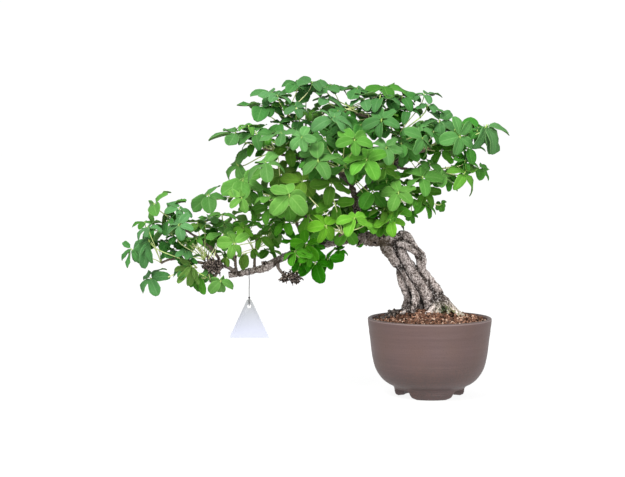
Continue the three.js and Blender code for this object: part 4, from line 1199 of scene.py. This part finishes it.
def leaflet_form(half_width, wave, bow, fold):
    """A leaflet one unit long, from the hub at the origin to its tip on +Y, upper face up, with UVs."""
    bpy.ops.mesh.primitive_grid_add(
        x_subdivisions=ROWS_ACROSS, y_subdivisions=ROWS_UP, size=2, location=(0, 0, 0),
    )
    blade = bpy.context.object
    for vertex in blade.data.vertices:
        across = vertex.co.x
        up = (vertex.co.y + 1) / 2
        rise = max(0, (up - STALK_ROWS) / (1 - STALK_ROWS))
        rise = 0.5 - 0.5 * math.cos(math.pi * rise ** 0.9) if up < 1 else 1
        along = LEAFLET_STALK * min(1, up / STALK_ROWS) + (1 - LEAFLET_STALK) * rise
        off = abs(rise - WIDEST) / (WIDEST if rise < WIDEST else 1 - WIDEST)
        half = max(half_width * math.sqrt(max(0, 1 - off**2.15)), NARROWEST)
        x = across * half
        notch = 0.022 * bell(x, 0.04) * max(0, rise - 0.85) / 0.15
        z = fold * abs(x) ** 1.15 - bow * (along - 0.45) ** 2 - 0.10 * x * x
        z += wave * math.sin(along * 9 + 1.5 * across) * abs(across) ** 2 * half
        vertex.co = (x, along - notch, z)
    modify(blade, "SOLIDIFY", thickness=LEAF_THICKNESS, offset=-1)
    return blade


def leaf_template(blade):
    """Numbers of a leaflet for copying: points, faces, rib coordinates, and 1 for points of the underside."""
    mesh = blade.data
    rib = np.zeros((len(mesh.vertices), 2))
    for loop, uv in zip(mesh.loops, mesh.uv_layers.active.data):
        rib[loop.vertex_index] = uv.uv
    under = np.zeros(len(rib))
    under[len(rib) // 2 :] = 1.0
    return *shape_of(blade), rib, under


def unit(vector):
    return Vector(vector).normalized()


def sway(hub, k):
    """A small fixed unevenness, different for each leaf and leaflet."""
    return math.sin(hub.x * 0.7 + hub.y * 0.9 + hub.z * 1.3 + k * 2.1)


def leaf_at(hub, length, normal, middle, fan=FULL_FAN, droop=12, pose=None, inside=False):
    """A leaf: its upper side faces along `normal`, and its middle leaflet points along `middle`."""
    return {
        "hub": Vector(hub), "length": length, "normal": unit(normal), "middle": middle, "fan": fan,
        "droop": droop, "pose": pose, "inside": inside,
    }


def front_leaf(pose, x, y, z, length, turn, inside=False):
    face, fan, droop = POSES[pose]
    middle = Vector((math.cos(math.radians(turn)), 0, math.sin(math.radians(turn))))
    return leaf_at((x, y, z), length, face, middle, fan, droop, pose, inside)


def back_leaves(stem, yaw, count):
    leaves = []
    for i in range(count):
        turn = math.radians(yaw + (i - (count - 1) / 2) * (BACK_FAN / (count - 1)))
        rise = math.radians(BACK_ELEVATIONS[i])
        out = Vector((math.cos(turn) * math.cos(rise), math.sin(turn) * math.cos(rise), math.sin(rise)))
        hub = Vector(stem[-1]) + out * (BACK_REACH + 7 * (i % 3))
        length = BACK_LENGTH + 3 * ((i + count) % 3)
        leaves.append(leaf_at(hub, length, out + Vector((0, 0, 0.8)), out))
    return leaves


def inner_leaves(spurs, draw, count):
    """Smaller leaves close to the stem that fill the inside of the spray."""
    leaves = []
    for _ in range(count):
        spur = draw.choice(spurs)
        way = unit((draw.gauss(0, 1), draw.gauss(0, 1), abs(draw.gauss(0.5, 0.6))))
        hub = spur + way * draw.uniform(*INNER_REACH)
        face = way * 0.5 + Vector((draw.gauss(0, 0.35), -0.35, 0.75))
        length = draw.uniform(*INNER_LENGTH)
        droop = draw.uniform(*INNER_DROOP)
        leaves.append(leaf_at(hub, length, face, way + Vector((0.01, 0, 0)), droop=droop, inside=True))
    return leaves


def stalk_start(leaf, starts):
    """The spur a leaf grows from: one well below it where there is one, since the stalks are long."""
    def unfit(at):
        reach = leaf["hub"] - at
        return abs(reach.length - 1.9 * leaf["length"]) + 1.5 * max(0, 0.4 * reach.length - reach.z)
    return min(starts, key=unfit)


def stalk_line(leaf, spur, steps=10):
    """A curve that leaves the spur forwards and up, and comes up to the hub from under the leaf."""
    reach = (leaf["hub"] - spur).length
    a = spur
    b = spur + unit(unit(leaf["hub"] - spur) + Vector((0, -0.45, 0.45))) * 0.35 * reach
    c = leaf["hub"] - unit(leaf["normal"] + Vector((0, 0.3, 1.1))) * 0.30 * reach
    d = leaf["hub"]
    line = []
    for k in range(steps + 1):
        t = k / steps
        line.append(a * (1 - t) ** 3 + b * 3 * t * (1 - t) ** 2 + c * 3 * t * t * (1 - t) + d * t**3)
    return line


def leaflets(leaf, draw):
    """The place of each leaflet as a matrix that carries the template there, in millimetres."""
    level = leaf["normal"].z > 0.85
    loose = 0.06 if level else 0.34 if leaf["inside"] else 0.2
    tilt = Vector([draw.gauss(0, loose), draw.gauss(0, loose / 2), loose * (0.7 + draw.gauss(0, 1))])
    normal = unit(leaf["normal"] + tilt)
    slim = SLIM.get(leaf["pose"], 1)
    along = unit(leaf["middle"] - normal * leaf["middle"].dot(normal))
    across = normal.cross(along)
    for k, share in enumerate(LEAFLET_SHARES):
        angle = math.radians((k - 2) * leaf["fan"] / 4 + 4 * sway(leaf["hub"], k) + draw.uniform(-9, 9))
        length = leaf["length"] * share * (1 + 0.06 * sway(leaf["hub"], k + 7)) * draw.uniform(0.90, 1.07)
        hang = draw.uniform(-8, 10 if level else 22)
        droop = math.radians(leaf["droop"] + 5 * sway(leaf["hub"], k + 13) + hang)
        flat = along * math.cos(angle) + across * math.sin(angle)
        out = flat * math.cos(droop) - normal * math.sin(droop)
        side = along * math.cos(angle + math.pi / 2) + across * math.sin(angle + math.pi / 2)
        roll = Matrix.Rotation(math.radians(draw.uniform(-28, 28) * (0.7 if level else 1)), 3, out)
        side = roll @ side
        top = out.cross(side)
        # the template's X runs to the right of the leaflet, so that X, Y and Z stay right-handed
        turned = Matrix((-side * draw.uniform(0.86, 1.08) * slim, out, top)).transposed()
        yield Matrix.Translation(leaf["hub"]) @ (turned * length).to_4x4()


# Leaf colours: LEAF_BLUE is a painted sheen for the top leaves, LEAF_LIME partly light caught by low front
# leaves and partly a tone of odd leaves, LEAF_DARK the colour of painted shade.
LEAF_GREEN = np.array((0.096, 0.238, 0.038))
LEAF_BLUE = np.array((0.074, 0.196, 0.072))
LEAF_LIME = np.array((0.116, 0.335, 0.002))
LEAF_DARK = np.array((0.016, 0.146, 0.001))
LEAF_OLIVE = np.array((0.085, 0.150, 0.018))
ODD_LIME = 0.12
ODD_OLIVE = 0.2
KEY_WAY = (-0.31, -0.54, 0.78)
FRONT_WAY = (0, -0.99, 0.12)


def cover(leaf, others, way):
    """How much the other leaves lie over this one, looking from it along `way`."""
    offsets = others[:, :3] - np.array(leaf["hub"])
    ahead = offsets @ np.array(way)
    aside = np.linalg.norm(offsets - ahead[:, None] * np.array(way), axis=1)
    over = np.exp(-((aside / (0.75 * others[:, 3])) ** 2)) * np.exp(-ahead / 70) * (ahead > 4)
    return float(over.sum())


def mixed(first, second, share):
    return first * (1 - share) + second * share


def tint_of(leaf, others, draw):
    """Leaf green with light and shade painted in: a bluish painted sheen at the top of the tree and at the
    far left, lime where the low leaves at the front catch the light, painted shade where other leaves lie
    over a leaf and under the crown, and a lit factor that dims the top and the far left.
    """
    x, y, z = leaf["hub"]
    high = clamped(max((z - 250) / 120, (-250 - x) / 60))
    low = clamped((250 - z) / 30) * clamped((x + 190) / 40) * clamped(-(y + 30) / 30)
    colour = mixed(mixed(LEAF_GREEN, LEAF_BLUE, high), LEAF_LIME, 0.7 * low)
    if draw.random() < ODD_LIME:
        colour = mixed(colour, LEAF_LIME, 0.35)
    if leaf["pose"] in ("pendent", "half_open") or leaf["inside"] and draw.random() < ODD_OLIVE:
        colour = mixed(colour, LEAF_OLIVE, 0.7)
    # Painted shade: a leaf is painted darker the more other leaves lie over it towards the key lamp and the
    # front, low leaves under the crown darker still; lit paints the top and the far left dimmer.
    covered = 0.24 * cover(leaf, others, KEY_WAY) + 0.24 * cover(leaf, others, FRONT_WAY)
    shade = covered + draw.uniform(-0.15, 0.2)
    if x > -190:
        shade += 0.55 * clamped((214 - z) / 14)
    lit = 1.10 - 0.24 * clamped((z - 310) / 55) - 0.12 * clamped((-235 - x) / 30)
    return mixed(colour, LEAF_DARK, clamped(shade)) * draw.uniform(0.87, 1.11) * lit


# A form is (half its width, wave of its edge, bow along the rib, fold across it).
FORM_SHAPES = [
    (0.27, 0.10, 0.30, 0.42), (0.30, 0.16, 0.60, 0.32), (0.33, 0.06, 0.20, 0.50), (0.24, 0.20, 0.90, 0.36),
    (0.29, 0.24, -0.25, 0.44),
]
FORMS = [leaf_template(leaflet_form(*shape)) for shape in FORM_SHAPES]


def foliage_mesh(name, leaves, others, draw):
    parts = []
    ribs = []
    unders = []
    tints = []
    for leaf in leaves:
        tint = tint_of(leaf, others, draw)
        for matrix in leaflets(leaf, draw):
            co, faces, rib, under = FORMS[draw.randrange(len(FORMS))]
            parts.append((carried(co, matrix) * MM + np.array(POT_AXIS), faces))
            ribs.append(rib)
            unders.append(under)
            tints.append(np.tile((*(tint * draw.uniform(0.85, 1.15)), 1.0), (len(co), 1)))
    piece = mesh_piece(name, parts, tint=np.concatenate(tints), under=np.concatenate(unders))
    mesh = piece.data
    corner = np.zeros(len(mesh.loops), int)
    mesh.loops.foreach_get("vertex_index", corner)
    mesh.uv_layers.new(name="rib").data.foreach_set("uv", np.concatenate(ribs)[corner].ravel())
    smooth_shade(piece)
    return piece


TWIG_SIDES = 8
TWIG_BROWN = np.array((0.175, 0.135, 0.100))
TWIG_DARK = np.array((0.09, 0.065, 0.048))
SPUR_SWELL = 0.7
STALK_SIDES = 5
STALK_RADIUS = 0.76
STALK_GREEN = np.array((0.300, 0.440, 0.100))
STALK_PALE = np.array((0.700, 0.740, 0.380))


def thin_tube(line, radii, sides, colours):
    """Points, faces and colours of a tube through `line`, closed at both ends."""
    points = []
    faces = []
    across = Vector((0, 0, 1)) if abs((line[1] - line[0]).normalized().z) < 0.9 else Vector((1, 0, 0))
    for i, centre in enumerate(line):
        ahead = line[min(i + 1, len(line) - 1)] - line[max(i - 1, 0)]
        ahead.normalize()
        across = unit(across - ahead * across.dot(ahead))
        other = ahead.cross(across)
        for k in range(sides):
            turn = math.tau * k / sides
            points.append(place(*(centre + (across * math.cos(turn) + other * math.sin(turn)) * radii[i])))
            if i:
                here, following = i * sides + k, i * sides + (k + 1) % sides
                faces.append((here - sides, following - sides, following, here))
    last = (len(line) - 1) * sides
    faces.append(tuple(range(sides))[::-1])
    faces.append(tuple(range(last, last + sides)))
    return np.array(points), faces, [(*colour, 1.0) for colour in colours for _ in range(sides)]


def twig_mesh(name, joint, spurs, starts, leaves, draw):
    """The spray's own stem, thicker at its spurs, and a stalk from a spur to every leaf."""
    stations = [(*joint, STEM_FOOT)]
    for i, spur in enumerate(spurs):
        stations.append((*spur, STEM_FOOT + (STEM_TIP - STEM_FOOT) * (i + 1) / len(spurs)))
    line = smooth_line(stations, 9)
    radii = []
    for i, spot in enumerate(line):
        nearest = min((Vector(spot[:3]) - spur).length for spur in spurs)
        radii.append(spot[3] + (SPUR_SWELL * bell(nearest, 2.5) + 0.16 * math.sin(i * 2.4)))
    browns = [mixed(TWIG_BROWN, TWIG_DARK, draw.random()) for _ in line]
    tubes = [thin_tube([Vector(p[:3]) for p in line], radii, TWIG_SIDES, browns)]
    for leaf in leaves:
        line = stalk_line(leaf, stalk_start(leaf, starts))
        pale = mixed(STALK_GREEN, STALK_PALE, draw.random())
        thick = STALK_RADIUS * (0.8 if leaf["inside"] else 1.0)
        radii = [1.3 * thick, *[thick] * (len(line) - 2), 0.85 * thick]
        greens = [mixed(pale, TWIG_BROWN, 0.6), *[pale] * (len(line) - 3), STALK_GREEN, STALK_GREEN]
        tubes.append(thin_tube(line, radii, STALK_SIDES, greens))
    parts = [(points, faces) for points, faces, _ in tubes]
    piece = mesh_piece(name, parts, tint=[tint for _, _, tints in tubes for tint in tints])
    smooth_shade(piece)
    return piece


leaf_skin = Finish("leaf_skin", specular_ior_level=0.04)
rib_at = leaf_skin.node("ShaderNodeUVMap", {"uv_map": "rib"})
off_rib = abs(leaf_skin.node("ShaderNodeSeparateXYZ", output="X", vector=rib_at) - 0.5) * 2
up_rib = leaf_skin.node("ShaderNodeSeparateXYZ", output="Y", vector=rib_at)
midrib = 1 - off_rib.ramp(0.02, 0.11)
fan_lines = (up_rib * 8.5 - off_rib * 2.1).fraction()
side_veins = 1 - abs(fan_lines - 0.5).ramp(0.02, 0.10)
side_veins = side_veins * off_rib.ramp(0.02, 0.2) * (1 - off_rib.ramp(0.7, 0.98))
under = leaf_skin.painted("under")
tint = leaf_skin.painted("tint", "Color")
mottle = leaf_skin.grain(160, 3)
lighter = leaf_skin.blend(1.0, tint, (1.9, 1.55, 1.9), "MULTIPLY")
lighter = leaf_skin.blend(0.14, lighter, (0.36, 0.52, 0.20))
face = leaf_skin.layered(
    tint,
    (mottle.ramp(0.35, 0.7) * 0.26, (0.022, 0.128, 0.006)),
    (side_veins * 0.22, lighter),
    (midrib * 0.42, lighter),
    (off_rib.ramp(0.86, 1.0) * 0.70, lighter),
    (under * 0.55, (0.110, 0.170, 0.050)),
    ((1 - up_rib.ramp(0.10, 0.15)) * 0.5, (0.260, 0.380, 0.110)),
)
leaf_skin.drive("Base Color", face)
leaf_skin.drive("Roughness", 0.42 + 0.12 * mottle + 0.14 * under)
leaf_skin.bump(mottle * 0.3 - midrib * 0.6 - side_veins * 0.35, 0.5 * MM, 0.5)
glow = leaf_skin.node("ShaderNodeBsdfTranslucent", color=(0.110, 0.400, 0.006))
surface = Wire(leaf_skin.tree, leaf_skin.shader.outputs[0])
through = leaf_skin.node("ShaderNodeMixShader", sockets={0: 0.2, 1: surface, 2: glow})
feed(leaf_skin.tree, leaf_skin.tree.nodes["Material Output"].inputs["Surface"], through)

twig_skin = Finish("twig_skin", roughness=0.7, specular_ior_level=0.3)
twig_skin.drive("Base Color", twig_skin.painted("tint", "Color"))
twig_skin.bump(twig_skin.grain(1400, 2), 0.3 * MM, 0.5)

draw = random.Random(23)
crowd = {}
for name, row in SPRAYS.items():
    if "leaves" in row:
        leaves = [front_leaf(*leaf) for leaf in row["leaves"]]
        leaves += [front_leaf(*leaf, inside=True) for leaf in row["inside"]]
    else:
        leaves = back_leaves(row["stem"], row["yaw"], row["count"])
    crowd[name] = leaves + inner_leaves([Vector(at) for at in row["stem"]], draw, row["drawn"])
others = np.array([(*leaf["hub"], leaf["length"]) for leaves in crowd.values() for leaf in leaves])
for name, row in SPRAYS.items():
    foliage = foliage_mesh("foliage_" + name, crowd[name], others, draw)
    finish_piece(foliage, "foliage_" + name, leaf_skin.material)
    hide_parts("spray_" + name)
    spurs = [Vector(at) for at in row["stem"]]
    starts = [spurs[-1], *[Vector(at) for at in row["cluster"]]] if "cluster" in row else spurs
    twigs = twig_mesh("twigs_" + name, row["joint"], spurs, starts, crowd[name], draw)
    finish_piece(twigs, "twigs_" + name, twig_skin.material)
    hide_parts("spray_" + name)

# Tag: a bare plate of white plastic, wide at the foot and narrow at the top, with its corners rounded, its
# edges eased and a hole for the string.
TAG_WIDTH = 52.4
TAG_HEIGHT = 50.2
TAG_TOP_WIDTH = 5.2
TAG_THICKNESS = 0.8
TAG_HOLE = 2.6
TAG_TOP = 125.5
TAG_FOOT = TAG_TOP - TAG_HEIGHT
TAG_CORNER = 1.6
TAG_EDGE = 0.18
HOLE_BELOW_TOP = 9
STRING_X = -233.5
UPRIGHT = (math.pi / 2, 0, 0)

bpy.ops.mesh.primitive_plane_add(size=1, location=(0, 0, 0), rotation=UPRIGHT)
tag = bpy.context.object
settle(tag)
for vertex in tag.data.vertices:
    width, height = (TAG_TOP_WIDTH, TAG_TOP) if vertex.co.z > 0 else (TAG_WIDTH, TAG_FOOT)
    vertex.co = place(STRING_X + math.copysign(width / 2, vertex.co.x), 0, height)
only(tag)
bpy.ops.object.mode_set(mode="EDIT")
bpy.ops.mesh.select_all(action="SELECT")
bpy.ops.mesh.bevel(offset=TAG_CORNER * MM, segments=6, affect="VERTICES")
bpy.ops.object.mode_set(mode="OBJECT")
modify(tag, "SOLIDIFY", thickness=TAG_THICKNESS * MM, offset=0)
bpy.ops.mesh.primitive_cylinder_add(
    vertices=40, radius=TAG_HOLE * MM, depth=10 * MM, location=place(STRING_X, 0, TAG_TOP - HOLE_BELOW_TOP),
    rotation=UPRIGHT,
)
cut_away(tag, bpy.context.object)
modify(tag, "BEVEL", width=TAG_EDGE * MM, segments=2, limit_method="ANGLE", angle_limit=math.radians(40))
only(tag)
bpy.ops.object.shade_smooth_by_angle(angle=math.radians(35))
white_plastic = Finish("white_plastic", roughness=0.36, specular_ior_level=0.3)
# Painted shadow: the white tag is painted grey at its top, fading to a pale bluish white towards its foot.
shade_fades_downwards = 1 - white_plastic.height().ramp((TAG_FOOT + 4) * MM, TAG_TOP * MM)
white_plastic.drive("Base Color", white_plastic.blend(shade_fades_downwards, (0.27, 0.28, 0.28), (0.43, 0.45, 0.54)))
finish_piece(tag, "tag_plate", white_plastic.material)
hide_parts("tag")

# String: a thin grey twine. It is wound once round the limb, hangs straight down, goes through the hole of
# the tag and is knotted to itself just above.
TWINE = 1.0
KNOT_HEIGHT = 127.2
TURN_HEIGHT = 161.6
TURN_RADIUS = 4.25
STRING_ROUTE = [
    (STRING_X, 0, 157.2), (STRING_X, 0, 154), (STRING_X + 0.2, 0, 150), (STRING_X + 0.2, 0, 145),
    (STRING_X, 0, 140), (STRING_X, 0, 135), (STRING_X, -0.2, 130.5), (STRING_X, -0.9, 127),
    (STRING_X, -1.55, 123.5), (STRING_X, -1.7, 120.5), (STRING_X, -1.35, 118.3), (STRING_X, -0.5, 117.3),
    (STRING_X, 0.5, 117.3), (STRING_X, 1.35, 118.3), (STRING_X, 1.7, 120.5), (STRING_X, 1.55, 123.5),
    (STRING_X, 1.1, 126.2),
]
string_line = [Vector(p) for p in smooth_line(STRING_ROUTE, 4)]
string = round_curve("string", [(*p, 1) for p in string_line], TWINE / 2, 3)
twine = Finish("twine", roughness=0.85)
twist = twine.grain(900, 2, (1, 1, 0.3))
twine.drive("Base Color", twine.blend(twist.ramp(0.4, 0.6), (0.020, 0.020, 0.019), (0.060, 0.060, 0.058)))
finish_piece(string, "string", twine.material)
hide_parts("tag_string")


def turn_of_twine(radius, segments, where, tilt):
    bpy.ops.mesh.primitive_torus_add(
        major_radius=radius * MM, minor_radius=TWINE / 2 * MM, major_segments=segments, minor_segments=10,
        location=where, rotation=tilt,
    )
    return bpy.context.object


knot = joined([
    turn_of_twine(1.05, 24, place(STRING_X, 0, KNOT_HEIGHT), (0.35, 0.25, 0)),
    turn_of_twine(0.85, 24, place(STRING_X, 0.1, KNOT_HEIGHT + 0.9), (-0.3, -0.3, 0)),
])
string_turn = turn_of_twine(TURN_RADIUS, 48, place(STRING_X, 0, TURN_HEIGHT), (0, math.radians(82), 0))
for piece, name in ((knot, "string_knot"), (string_turn, "string_turn")):
    settle(piece)
    smooth_shade(piece)
    finish_piece(piece, name, twine.material)
string_length = sum((b - a).length for a, b in zip(string_line, string_line[1:])) * MM
place(*STRING_ROUTE[0])

bpy.context.view_layer.update()
